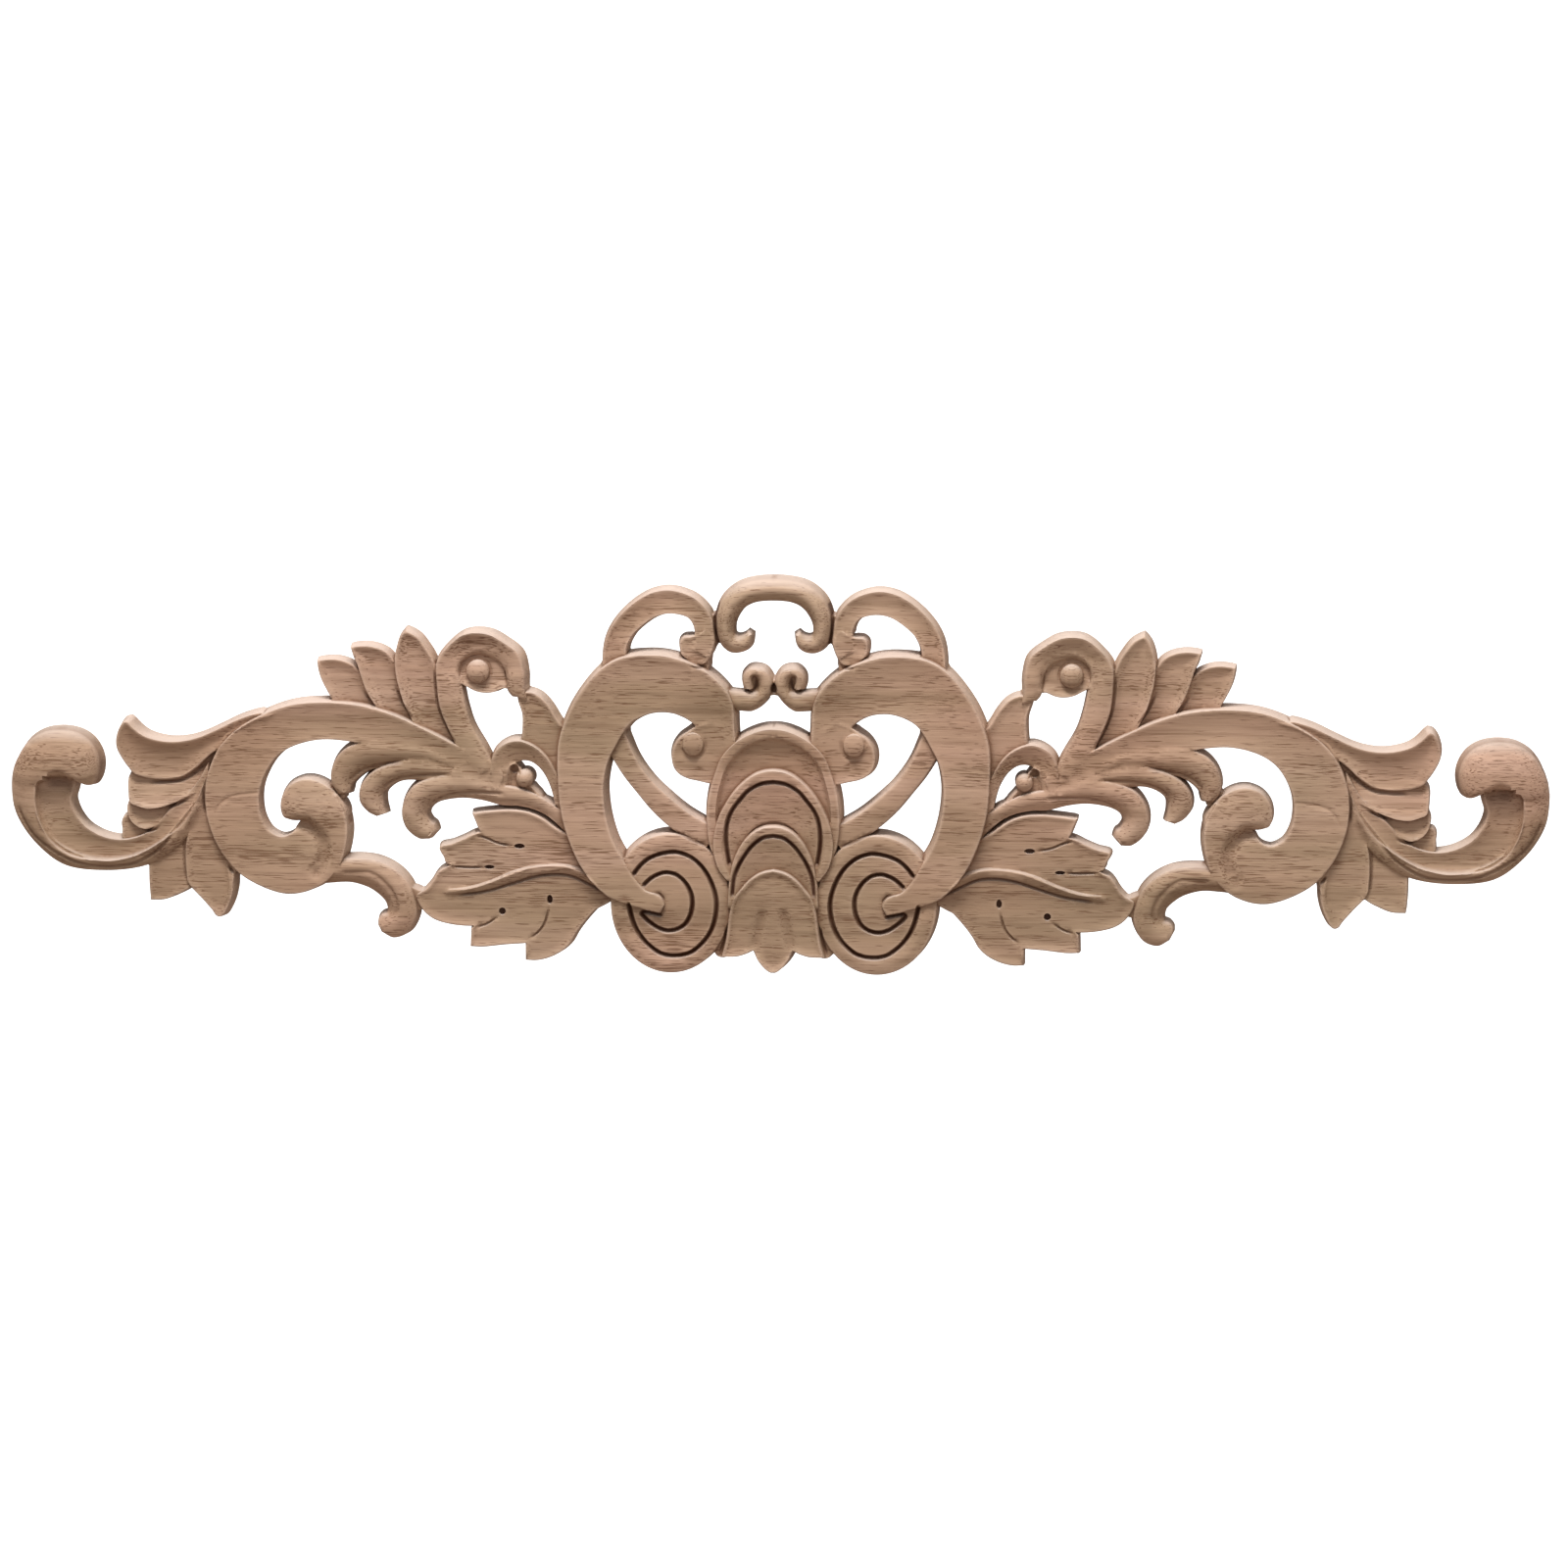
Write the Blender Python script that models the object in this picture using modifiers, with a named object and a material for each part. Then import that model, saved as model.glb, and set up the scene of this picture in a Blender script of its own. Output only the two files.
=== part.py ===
"""Carved crest onlay: one pierced, mirror-symmetric board of scrolls, leaves
and a centre shell, flat on its back, carved in low relief on its front.

Frame: X to the right, Z up, the flat back in the plane Y = 0, the carving
towards -Y.  The origin is on the back, in the middle of the board.
The drawing below is in millimetres, for the left half; the right half is its
mirror image.  Bands are drawn by cross-lines (inner x, z, outer x, z) along
their run, plates by the corners and bends of their outline.
"""
import math

import bpy
import bmesh
import numpy as np

# ---------------------------------------------------------------- named sizes
MM = 0.001
LENGTH = 500.0            # over both volutes
HEIGHT = 130.4            # top of the crest ring to the foot of the discs
DRAFT = 0.10              # the walls flare outwards to the back, mm per mm
BACK_STOCK = 2.0          # timber behind the back plane before it is planed
TOL_LINE = 0.32           # how closely a facet follows the drawn curve
TOL_BAND = 0.55           # the same along the edges of a band
GROOVE_R = 0.9            # radius of the scroll grooves
NODE = "carved_onlay"
COLLECTION = "Carved crest onlay"

H_JOINT = 6.0             # height of the bridges between neighbours
H_DISC = 10.0             # height of the scroll discs
MERGE_ANGLE = 5.0         # degrees; facets flatter than this to each other join

# bands whose inner side closes on itself keep an upright inner wall
UPRIGHT_INSIDE = ("centre_curl", "crest_ring", "small_curl", "horn", "branch")

# ------------------------------------------------------- bands (cross-lines)
# name: (cross-lines, {cross-line number: (inner, middle, outer) height})
BANDS = {
    "volute_channel": ([
        (-183, 3, -183, -3.6), (-188, -5, -185.6, -9.6),
        (-195.5, -12, -190.8, -18.2), (-202, -19, -198.2, -24.2),
        (-209, -21.6, -207.2, -28.9), (-216, -21.2, -217.2, -30.2),
        (-222, -18.3, -227.8, -28.9), (-225.5, -14.3, -235.5, -23.8),
        (-227.2, -9.5, -239.8, -14.4), (-227, -6, -240.4, -6),
        (-226, -2, -239, 0.6)],
        {0: (8.2, 7.9, 8.7), 4: (8.2, 7.5, 9.1), 10: (8.0, 6.7, 9.1)}),
    "volute_band": ([
        (-184, -2, -183.5, -6), (-186.4, -8.5, -184.8, -12),
        (-191.2, -16.5, -189.5, -20.5), (-198.6, -22.5, -196, -26.5),
        (-207.5, -27.3, -204.5, -31), (-217, -28.7, -217, -32.6),
        (-227, -27.7, -230.3, -31), (-234.3, -22.7, -239.8, -23.8),
        (-238.4, -14, -245.8, -14.6), (-239, -6, -247.3, -6),
        (-237, 2, -246.2, 2), (-233, 4, -242, 9)],
        {0: (9.2, 8.6, 7.6), 6: (10.2, 9.4, 7.4), 11: (11.0, 10.6, 8.0)}),
    "branch": ([
        (-96, 0, -94, 5.5), (-104, 3, -103, 10.3), (-113, 6, -111, 14.4),
        (-124, 8.5, -122, 18.9), (-134, 10.7, -133, 21.7),
        (-145, 11.8, -146, 22.6), (-154, 10.2, -158, 20.9),
        (-160.5, 6.5, -170.5, 16.3), (-164.7, 0.5, -179.3, 8),
        (-166.5, -6, -183.8, -4), (-166.2, -13, -183.3, -14.5),
        (-163.8, -18.3, -179.2, -25.3), (-160.3, -20.6, -171.5, -34),
        (-157.5, -20.6, -159, -39.5), (-155.5, -19, -148.5, -37.7),
        (-154.6, -17.3, -141, -31), (-153.6, -16, -137.6, -22),
        (-152.6, -14, -137.8, -14), (-152, -12, -141.5, -6.3)],
        {0: (9.0, 9.0, 9.6), 5: (9.4, 8.8, 10.2), 9: (9.4, 9.2, 9.8),
         14: (7.8, 8.8, 9.4), 18: (8.6, 9.6, 9.4)}),
    "horn": ([
        (-90, 3, -95, 0), (-93.5, 9, -100.5, 6), (-97.8, 16, -104.8, 14),
        (-100.2, 22.5, -108.2, 22), (-101.2, 29, -109.2, 29.5),
        (-102.3, 34, -108.8, 36.5), (-100.8, 37.6, -105.4, 41.5),
        (-97.5, 39.4, -99.5, 45), (-93.5, 39.4, -93, 45.6),
        (-90, 38, -87.8, 43.2), (-87.5, 35, -83.2, 39.2),
        (-86.6, 31.5, -81.6, 33.3), (-86.2, 28, -81.4, 28.4),
        (-84.5, 25.8, -80.2, 24.4)],
        {0: (8.6, 9.4, 8.8), 4: (8.2, 9.4, 9.2), 7: (7.0, 8.2, 10.4),
         9: (7.4, 8.8, 10.2), 11: (8.4, 9.8, 9.2), 13: (8.2, 9.2, 8.6)}),
    "small_curl": ([
        (-86, -4.5, -88, -6.5), (-86, -2.5, -90.5, -3), (-85.3, 0.5, -91.4, 1.5),
        (-84.3, 3, -90, 7.3), (-82.3, 4.8, -86.5, 10.6), (-80, 5.4, -82, 11.7),
        (-77.3, 4.6, -77.3, 10), (-74.8, 1.8, -73.5, 6.8),
        (-72.7, -1.8, -70.4, 2), (-71.3, -5.8, -68, -4), (-70.5, -9.6, -66, -11)],
        {0: (7.4, 8.6, 9.0), 5: (7.4, 8.6, 10.2), 10: (8.4, 9.0, 9.8)}),
    "finger_1": ([
        (-97, -1.5, -97, 3), (-104, 0.4, -105, 7), (-112, 3.2, -113, 10),
        (-121, 3.0, -122, 10.6), (-127, 2.0, -130, 11.2),
        (-131, 0.9, -136.5, 9.4), (-134.2, -1.2, -140.5, 6.2),
        (-136.3, -3.3, -142.8, 1.8), (-136.8, -5, -143, -2.8),
        (-138.2, -6.4, -141.4, -6)],
        {0: (7.4, 9.0, 8.6), 4: (6.8, 9.8, 8.8), 9: (7.0, 8.6, 7.4)}),
    "finger_2": ([
        (-97, -4, -98, 1), (-105, -2.4, -106, 3), (-112, -2.2, -113, 5),
        (-118, -1.9, -121, 4.5), (-121.8, -2.8, -127, 2.3),
        (-124.3, -4.3, -131, -0.5), (-126, -6.3, -133.7, -4.6),
        (-126.2, -8.8, -133.8, -9), (-125.8, -11, -131.3, -12.5),
        (-125.9, -12.6, -127.8, -13.7)],
        {0: (7.0, 9.4, 8.8), 4: (6.8, 9.8, 8.6), 9: (6.8, 8.4, 7.2)}),
    "finger_3": ([
        (-64, -22, -63, -14), (-71, -15, -69.6, -10.5), (-76, -11.8, -74.6, -7.2),
        (-82, -10.2, -81, -4.4), (-88, -9.9, -88, -3), (-94, -8.4, -94.5, -1.5),
        (-100, -7.7, -101.5, 0), (-105.5, -8.3, -109, -0.6),
        (-109.3, -9.5, -115.3, -3), (-111.5, -11.3, -119, -7.5),
        (-112.1, -13.3, -120.2, -12.7), (-111, -15.3, -118.8, -17.6),
        (-109.8, -16.6, -115, -20.6), (-109.3, -18.3, -111.5, -20.4)],
        {0: (7.2, 8.4, 8.4), 3: (7.0, 8.8, 8.4), 7: (6.4, 9.9, 8.8),
         13: (6.8, 8.6, 7.4)}),
    "lower_hook": ([
        (-150, -36.5, -150, -26), (-143, -35.6, -142, -27.2),
        (-137, -35.3, -134, -27), (-131.5, -36.8, -127.5, -27.9),
        (-128, -39, -122, -30.7), (-125.8, -41.3, -118, -35),
        (-125, -43.7, -115.8, -40.5), (-125.3, -45.6, -115.2, -46),
        (-126.6, -46.3, -118, -52), (-127.8, -47.8, -123, -53.8),
        (-127.9, -49.6, -126.8, -51.7)],
        {0: (6.2, 9.6, 8.0), 6: (6.2, 9.8, 8.0), 10: (7.2, 8.8, 7.6)}),
    "heart_scroll": ([
        (-24, 0, -16, -2), (-24.5, 8, -13.9, 8), (-25.5, 15.8, -13.9, 17),
        (-27, 18.3, -14.2, 25.5), (-30.5, 20.5, -18.5, 30.3),
        (-34, 21.3, -25, 35.2), (-38, 21.2, -33, 39.2), (-42, 20, -41, 40),
        (-45.5, 18, -49, 39), (-48, 15, -56, 35.3), (-50.5, 10.5, -62, 28.2),
        (-52.5, 6, -66.3, 20.5), (-53.7, 1, -69, 11), (-54.1, -5, -69.3, 0),
        (-53.2, -13, -68.4, -11), (-51, -20.7, -65.8, -20.7),
        (-48, -27.2, -61.5, -30), (-44.5, -33.2, -55, -37.7),
        (-41.5, -37.2, -48.5, -41.4), (-38, -38.8, -42, -43.7),
        (-36, -40.6, -39.5, -45.2), (-35.6, -42.3, -37, -44.9)],
        {0: (9.8, 10.2, 11.0), 4: (10.6, 10.4, 11.6), 8: (10.8, 10.2, 11.8),
         13: (11.2, 11.0, 11.4), 21: (11.4, 11.6, 11.4)}),
    "strap": ([
        (-55, 12, -49, 20), (-52, 6.5, -46.5, 13), (-48.3, 0.5, -43.5, 6),
        (-44, -5, -39, -0.5), (-39.5, -10.5, -34, -5.5),
        (-34.5, -15.3, -28, -11), (-29, -19.3, -21.5, -14.9),
        (-22, -23, -16, -18)],
        {0: (9.2, 9.5, 9.2)}),
    "side_arch": ([
        (-46.5, 35, -55, 29), (-48.4, 41, -56.3, 38), (-46.5, 46, -54.3, 46),
        (-42.5, 50.2, -49.5, 53.2), (-38, 53.2, -42, 58.6),
        (-33.5, 54.1, -34.5, 60.3), (-29.3, 53.3, -27.5, 58.7),
        (-26.8, 51.3, -22.5, 55.5), (-25.4, 48.3, -19.8, 51),
        (-25.4, 44.5, -19.2, 45), (-26, 41.5, -21, 39)],
        {0: (8.6, 7.9, 8.9), 6: (8.6, 8.0, 9.0), 10: (8.4, 8.6, 8.4)}),
    "crest_ring": ([
        (-8.1, 47.8, -6.9, 46.6), (-9.3, 46.7, -7.6, 42.8),
        (-11, 46.2, -10.3, 40.8), (-12.3, 46.6, -14, 40.8),
        (-12.9, 48, -17, 43.5), (-12.7, 50.5, -18.4, 48.5),
        (-11.6, 53.8, -18.1, 54), (-9.3, 56.7, -15.4, 59.3),
        (-5.5, 58.4, -9.5, 63.3), (0, 58.8, 0, 64.6), (5.5, 58.4, 9.5, 63.3)],
        {0: (7.0, 8.4, 7.4), 4: (6.6, 11.0, 7.6), 10: (6.6, 11.8, 7.8)}),
    "centre_curl": ([
        (-21, 31, -21, 24), (-15, 28.6, -15, 22.8), (-10, 28, -10, 22.2),
        (-7, 27.8, -6.5, 22.3), (-5.3, 28.3, -3, 24.6), (-4.9, 30, -0.6, 28.5),
        (-5.2, 32, -0.7, 32), (-6, 33, -3, 35.6), (-6.8, 32.6, -7, 36.4),
        (-6.8, 31, -9.5, 34), (-6.5, 29.7, -10, 31.5), (-6.3, 28.9, -9.6, 28.9)],
        {0: (8.4, 9.6, 8.6), 4: (7.4, 9.8, 8.2), 11: (7.4, 9.4, 7.8)}),
    "scallop_1": ([
        (-14.5, -28, -17.2, -30.4), (-17, -22, -20.4, -22), (-17, -14.5, -21.3, -14),
        (-15, -9, -20.8, -6.5), (-12, -4.5, -18.9, 1), (-9, -1.5, -16.3, 7.3),
        (-5.7, 0.8, -11.5, 12), (-2.9, 2, -5.7, 15), (0, 2.4, 0, 16),
        (2.9, 2, 5.7, 15)],
        {0: (9.0, 9.6, 10.6), 4: (8.6, 9.4, 11.6), 9: (8.6, 9.4, 12.2)}),
    "scallop_2": ([
        (-12.5, -34, -15, -33), (-12.5, -30, -18, -28.5), (-11.6, -26, -19.3, -22),
        (-10, -22.6, -18.2, -15.3), (-8, -19.6, -15.4, -9.6),
        (-5.6, -17.2, -11.5, -4.3), (-2.8, -15.9, -6, 0.2), (0, -15.4, 0, 1.6),
        (2.8, -15.9, 6, 0.2)],
        {0: (9.6, 10.8, 11.6), 4: (9.4, 10.8, 12.6), 8: (9.2, 10.8, 12.8)}),
    "scallop_3": ([
        (-12, -43, -14.6, -42), (-11.3, -39, -14.1, -34.5), (-9.4, -36, -12.8, -27.7),
        (-7.3, -33.4, -10.3, -22.5), (-4.7, -31, -7, -18.8),
        (-2.4, -29.8, -3.5, -16.7), (0, -29.4, 0, -16.2),
        (2.4, -29.8, 3.5, -16.7)],
        {0: (10.2, 11.2, 11.8), 4: (9.8, 11.2, 12.8), 7: (9.8, 11.2, 13.0)}),
    "maple_rib": ([
        (-106, -39.6, -106, -37.6), (-98, -38.8, -98.6, -36.6),
        (-90, -36.8, -91, -34.2), (-82, -34.2, -83.4, -30.8),
        (-74, -32.4, -74.4, -29.2), (-66, -32.4, -65.4, -29.2),
        (-60, -35, -58, -32), (-54, -38.4, -52, -36)],
        {0: (7.4, 8.0, 7.6), 3: (7.6, 9.4, 8.2), 7: (7.8, 9.6, 8.4)}),
}

# --------------------------------------------------- plates (outline corners)
# name: (outline, height, slope along x, slope along z); a third value of 1
# marks a sharp corner
PLATES = {
    "crest_leaf": ([
        (-209.6, 15.9, 1), (-206.5, 13), (-203.5, 11.1), (-199.5, 9.9),
        (-195, 9.4), (-190, 9.8), (-185, 11.3), (-179, 14), (-172, 16.8),
        (-164, 19.2), (-158, 20.3, 1), (-166, 14.5), (-175, 8.5), (-181, 2),
        (-184, -0.6), (-189, 0), (-192, -0.8), (-196, -1.9), (-200, -2.2),
        (-204, -1.6), (-207, -0.6), (-209, 1.8), (-211, 4.2), (-212.8, 7.8),
        (-213, 11), (-212.2, 13.8), (-210.9, 15.6)], 9.0, 0.0, 0.03),
    "lobe_2": ([
        (-208.4, -0.5), (-209.3, -3), (-209.2, -6), (-208.6, -9.8), (-206, -11),
        (-203, -11.5), (-199, -11.2), (-195.5, -10), (-192, -8.3),
        (-187, -6.5, 1), (-185, 1), (-195, 2), (-204, 2)], 8.1, 0.0, -0.12),
    "lobe_3": ([
        (-209.2, -9.5), (-209.9, -12), (-209.2, -15), (-207.5, -17),
        (-204.5, -18), (-201.5, -17.6), (-198, -15.5), (-193.5, -12.6, 1),
        (-192, -8, 1), (-200, -7), (-207, -8)], 7.5, 0.0, -0.12),
    "lobe_4": ([
        (-210.6, -14.6), (-211.8, -16.5), (-211.6, -19), (-211.2, -22.6),
        (-206, -23.5), (-200.6, -20.5), (-200, -14), (-206, -13)],
        6.7, 0.0, -0.04),
    "tail_leaf_inner": ([
        (-182, -3, 1), (-186, -12), (-189.4, -19), (-190.8, -25), (-190.9, -30),
        (-190.5, -35), (-189.3, -37.5), (-186, -41), (-182.5, -45),
        (-181, -46.9), (-179.3, -47.5), (-177.8, -46.5), (-175.9, -42.5),
        (-174.9, -38), (-174.6, -33.5), (-173, -28), (-172, -20), (-176, -10),
        (-180, -4)], 8.4, 0.02, 0.0),
    "tail_leaf_outer": ([
        (-202.3, -27.5, 1), (-202.3, -36), (-201.9, -42.2, 1), (-198, -42),
        (-194, -40.5), (-190, -38.3), (-187, -35), (-186, -27), (-186.5, -18, 1),
        (-192, -18.5), (-197.5, -24)], 7.5, 0.0, 0.0),
    "feather_1": ([
        (-119.8, 46.2, 1), (-116.5, 44.4), (-113.5, 41.3), (-111.3, 37.5),
        (-109.6, 33), (-107.5, 27), (-104.5, 19), (-99, 8, 1), (-112, 10),
        (-117.5, 18.5), (-119.6, 22.5), (-121.2, 27), (-122.5, 32),
        (-123.1, 37), (-122.8, 41), (-121.8, 44.4)], 8.0, -0.05, 0.02),
    "feather_2": ([
        (-137.4, 40.2, 1), (-134, 40.4), (-130, 39.9), (-126.5, 38.6),
        (-123.6, 36), (-119.5, 31), (-116, 22), (-116, 13, 1), (-125, 15),
        (-129, 22), (-131, 25), (-132.8, 28.5), (-134.2, 32.5), (-135.2, 36),
        (-136.2, 38.2)], 7.4, -0.04, 0.03),
    "feather_3": ([
        (-148.4, 35.9, 1), (-144, 36.1), (-140, 35.6), (-136.2, 33.8),
        (-132.5, 30), (-128, 23), (-128, 16, 1), (-140, 18), (-143.3, 24),
        (-145, 27), (-146.8, 30.5), (-147.8, 33.8)], 6.7, -0.04, 0.03),
    "horn_dish": ([
        (-102, 30.3), (-99.5, 28.8), (-97, 27.5), (-94, 26.9), (-91, 27.2),
        (-88, 28.4), (-84.6, 29), (-84.4, 36), (-89, 40.6), (-96, 41.6),
        (-102, 39), (-104.2, 34)], 7.3, 0.0, -0.03),
    "curl_dish": ([
        (-88, -4), (-86, 1), (-84, 3.9), (-80.6, 2.5), (-77.4, 0.8),
        (-76.9, -1.8), (-77.6, -4), (-74.8, -7.3), (-71, -10.4), (-66, -14),
        (-68, -16.5), (-78, -9), (-86, -8)], 7.9, 0.0, 0.0),
    "cleft_leaf": ([
        (-82.3, 25.2), (-80.2, 26), (-78.4, 25.7), (-76, 24.2), (-73.5, 21),
        (-71.3, 17.3), (-67, 12), (-64, 4), (-68, -2), (-75, 4), (-81.2, 8),
        (-81.3, 14), (-81.2, 20)], 8.2, 0.0, 0.02),
    "heart_terminal": ([
        (-24, 17.4), (-28.5, 15.1), (-31, 13.2), (-32.8, 10), (-33.4, 6.5),
        (-32.8, 3), (-31, 0.6), (-28.5, -0.9), (-25, -1.6), (-18, -2.4),
        (-14.5, 2), (-14.5, 12), (-18, 18)], 9.9, 0.0, 0.03),
    "arch_foot": ([
        (-24, 46.6), (-26.6, 45.8), (-28.6, 45.6), (-29.9, 44.4),
        (-30.1, 42.3), (-29.5, 40.2), (-27, 38.2), (-24.5, 37.5), (-22.4, 37.6),
        (-20, 40), (-19, 44), (-21, 48)], 8.4, 0.0, 0.0),
    "tulip": ([
        (2, -30.7, 1), (0, -30.7), (-4, -31.7), (-7.5, -34), (-10.3, -37),
        (-12.8, -40.2), (-14, -45), (-14.7, -51), (-15.5, -55.5),
        (-16.5, -59.1, 1), (-12, -59.1), (-9, -58.2), (-6.4, -56.9, 1),
        (-5, -59.6), (-3, -62.2), (-1.2, -63.6), (0, -63.8), (2, -63.3, 1)],
        12.5, 0.0, 0.01),
    "shell_ground": ([
        (2, 9, 1), (-12, 7), (-18, -4), (-19.5, -18), (-16, -30), (-14.8, -42),
        (-16, -56, 1), (2, -56, 1)], 8.3, 0.0, 0.0),
    "maple_lobe_1": ([
        (-97.3, -12.3, 1), (-92, -11.5), (-86, -11), (-80, -11.6),
        (-75, -13.8), (-70, -17.3), (-65, -20), (-56, -24), (-56, -34, 1),
        (-75, -27), (-86, -23.5), (-90.3, -22), (-94.5, -18.8),
        (-96.3, -15)], 8.3, 0.0, 0.03),
    "maple_lobe_2": ([
        (-108, -23.3), (-104, -22), (-100, -20.3), (-95.5, -18.8), (-85, -17),
        (-75, -20), (-56, -30), (-66, -31.6), (-90, -30.4), (-104.3, -29.7),
        (-106.8, -26.8)], 7.7, 0.0, 0.02),
    "maple_body": ([
        (-115.8, -39.8), (-113, -38), (-110.8, -35.5), (-109, -32.6),
        (-106.5, -30.6), (-100, -28.5), (-80, -26.5), (-60, -26), (-51, -37.6),
        (-58, -44), (-75, -49.4), (-90, -49.6), (-97, -49.8), (-103, -49.5),
        (-108.5, -48.3), (-112, -46.4), (-114.6, -43.4)], 7.3, 0.005, 0.0),
    "maple_lobe_4": ([
        (-97.6, -50.6, 1), (-97.9, -56.5, 1), (-94, -56.6), (-87, -55.8),
        (-80, -55.2), (-73, -54), (-73, -43), (-88, -43), (-95.6, -48.4)],
        6.5, 0.0, 0.0),
    "maple_lobe_5": ([
        (-80, -54.2, 1), (-79.9, -60.8, 1), (-77, -60.9), (-73, -60),
        (-69, -58), (-66, -55.2), (-64, -51.7), (-61.3, -48), (-57.5, -43.7),
        (-52.6, -39.2), (-56, -34), (-70, -38), (-73, -45), (-75.5, -50)],
        7.0, 0.0, 0.0),
    "joint_hook_maple": ([
        (-119, -37.3), (-114.4, -38.4), (-110, -39.2), (-112.6, -43.9),
        (-118.4, -44.6)], H_JOINT + 0.5, 0.0, 0.0),
    "joint_ring_arch": ([
        (-21, 54.6), (-17, 56), (-15.5, 50), (-16.6, 44.2), (-18, 43.6),
        (-21, 44)], H_JOINT, 0.0, 0.0),
    "joint_arch_heart": ([
        (-28, 40), (-21.4, 40), (-21.8, 33), (-28, 33)], H_JOINT, 0.0, 0.0),
    "joint_finger_scroll": ([
        (-143.6, -3.6), (-140, -4.4), (-139, -8), (-142.5, -9)],
        H_JOINT, 0.0, 0.0),
    "joint_disc_tulip": ([
        (-21, -50), (-15, -48), (-14, -56.5), (-18.3, -57.2)],
        H_JOINT + 1.2, 0.0, 0.0),
    "joint_curls": ([
        (2, 31.4, 1), (-2.5, 31.8), (-3.5, 29), (-2.5, 26.6), (2, 27.2, 1)],
        H_JOINT + 0.4, 0.0, 0.0),
}

# ------------------------------------------ domes: x, z, half sizes x, z, top
DOMES = {
    "horn_eye": (-96.3, 33.9, 3.8, 3.9, 10.4),
    "curl_eye": (-80.2, -0.8, 3.3, 3.4, 10.2),
    "heart_eye": (-26.4, 11.0, 3.5, 4.3, 13.0),
}

# ------------------------------------------- round ends of the two big scrolls
BALLS = {
    "volute_ball": ([
        (-226, -2.9), (-224.4, -3.9), (-222.4, -4.6), (-220.4, -4.1),
        (-218.9, -1.5), (-218.3, 2.5), (-219.2, 6.6), (-221.7, 10.4),
        (-225.6, 12.8), (-230.5, 13.7), (-236, 13.1), (-240.7, 10.6),
        (-244.2, 6.4), (-246.4, 1), (-246.9, -3), (-243, -6), (-239.5, -5.2),
        (-237.5, -3.2), (-234, -1.9), (-230, -1.7)], 8.4, 12.4),
    "scroll_ball": ([
        (-154.8, -15.6), (-157.1, -15), (-158.8, -14), (-159.6, -11),
        (-159, -7.4), (-157.2, -4.4), (-154.8, -2.5), (-151.5, -1.5),
        (-148, -1.9), (-144.6, -3.7), (-141.6, -6.6), (-139.5, -10),
        (-139, -15), (-142, -20), (-146.6, -24), (-147.6, -19.5),
        (-149.6, -16.4), (-152, -15)], 8.8, 12.0),
}

# ------------------------------------------------ scroll disc and its grooves
DISC = (-33.6, -41.2, 19.3, 22.9)            # centre x, z, half sizes x, z
# grooves: centre x, z, half sizes x, z, start and end angle in degrees
GROOVES = {
    "disc_groove_outer": (-32.2, -42.3, 14.3, 16.9, 150.0, -180.0),
    "disc_groove_inner": (-34.3, -41.6, 7.8, 9.4, 140.0, -150.0),
}


# --------------------------------------------------------------- point helpers
def catmull(points, per):
    """Smooth run through the points, 'per' steps a span, open ends."""
    p = np.asarray(points, float)
    if len(p) < 3:
        return p
    ext = np.vstack([2 * p[0] - p[1], p, 2 * p[-1] - p[-2]])
    out = []
    for i in range(len(p) - 1):
        a, b, c, d = ext[i:i + 4]
        for k in range(per):
            t = k / per
            out.append(0.5 * ((2 * b) + (c - a) * t + (2 * a - 5 * b + 4 * c - d) * t * t
                              + (3 * b - a - 3 * c + d) * t ** 3))
    out.append(p[-1])
    return np.array(out)


def thin(points, tol):
    """Indices of the points that keep the run within tol of itself."""
    p = np.asarray(points, float)
    keep = {0, len(p) - 1}
    stack = [(0, len(p) - 1)]
    while stack:
        a, b = stack.pop()
        if b - a < 2:
            continue
        seg = p[b] - p[a]
        length = np.linalg.norm(seg)
        mid = p[a + 1:b] - p[a]
        if length < 1e-9:
            dist = np.linalg.norm(mid, axis=1)
        else:
            t = np.clip(mid @ seg / length ** 2, 0, 1)
            dist = np.linalg.norm(mid - t[:, None] * seg, axis=1)
        k = int(np.argmax(dist))
        if dist[k] > tol:
            keep.add(a + 1 + k)
            stack += [(a, a + 1 + k), (a + 1 + k, b)]
    return sorted(keep)


def outline(corners, tol):
    """Closed smooth outline through the corners; sharp where marked."""
    n = len(corners)
    sharp = [i for i, c in enumerate(corners) if len(c) > 2 and c[2]]
    pts = [c[:2] for c in corners]
    if not sharp:
        ext = [pts[-2], pts[-1]] + pts + [pts[0], pts[1], pts[2]]
        run = catmull(ext, 8)[16:16 + 8 * n + 1]
        half = len(run) // 2
        a, b = run[:half + 1], run[half:]
        out = [a[i] for i in thin(a, tol)][:-1] + [b[i] for i in thin(b, tol)][:-1]
        return np.array(out)
    out = []
    for j, s in enumerate(sharp):
        e = sharp[(j + 1) % len(sharp)]
        count = (e - s) % n or n
        run = catmull([pts[(s + k) % n] for k in range(count + 1)], 8)
        out += [run[i] for i in thin(run, tol)][:-1]
    return np.array(out)


def normals(loop):
    """Outward normals of a closed loop of points."""
    nxt = np.roll(loop, -1, axis=0) - loop
    prv = loop - np.roll(loop, 1, axis=0)
    nxt /= np.linalg.norm(nxt, axis=1)[:, None]
    prv /= np.linalg.norm(prv, axis=1)[:, None]
    t = nxt + prv
    t /= np.maximum(np.linalg.norm(t, axis=1), 0.3)[:, None]
    area = 0.5 * np.sum(loop[:, 0] * np.roll(loop[:, 1], -1)
                        - np.roll(loop[:, 0], -1) * loop[:, 1])
    out = np.stack([t[:, 1], -t[:, 0]], axis=1)
    return out if area > 0 else -out


# --------------------------------------------------------------- solid helpers
for old in list(bpy.context.scene.objects):
    bpy.data.objects.remove(old, do_unlink=True)

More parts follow.
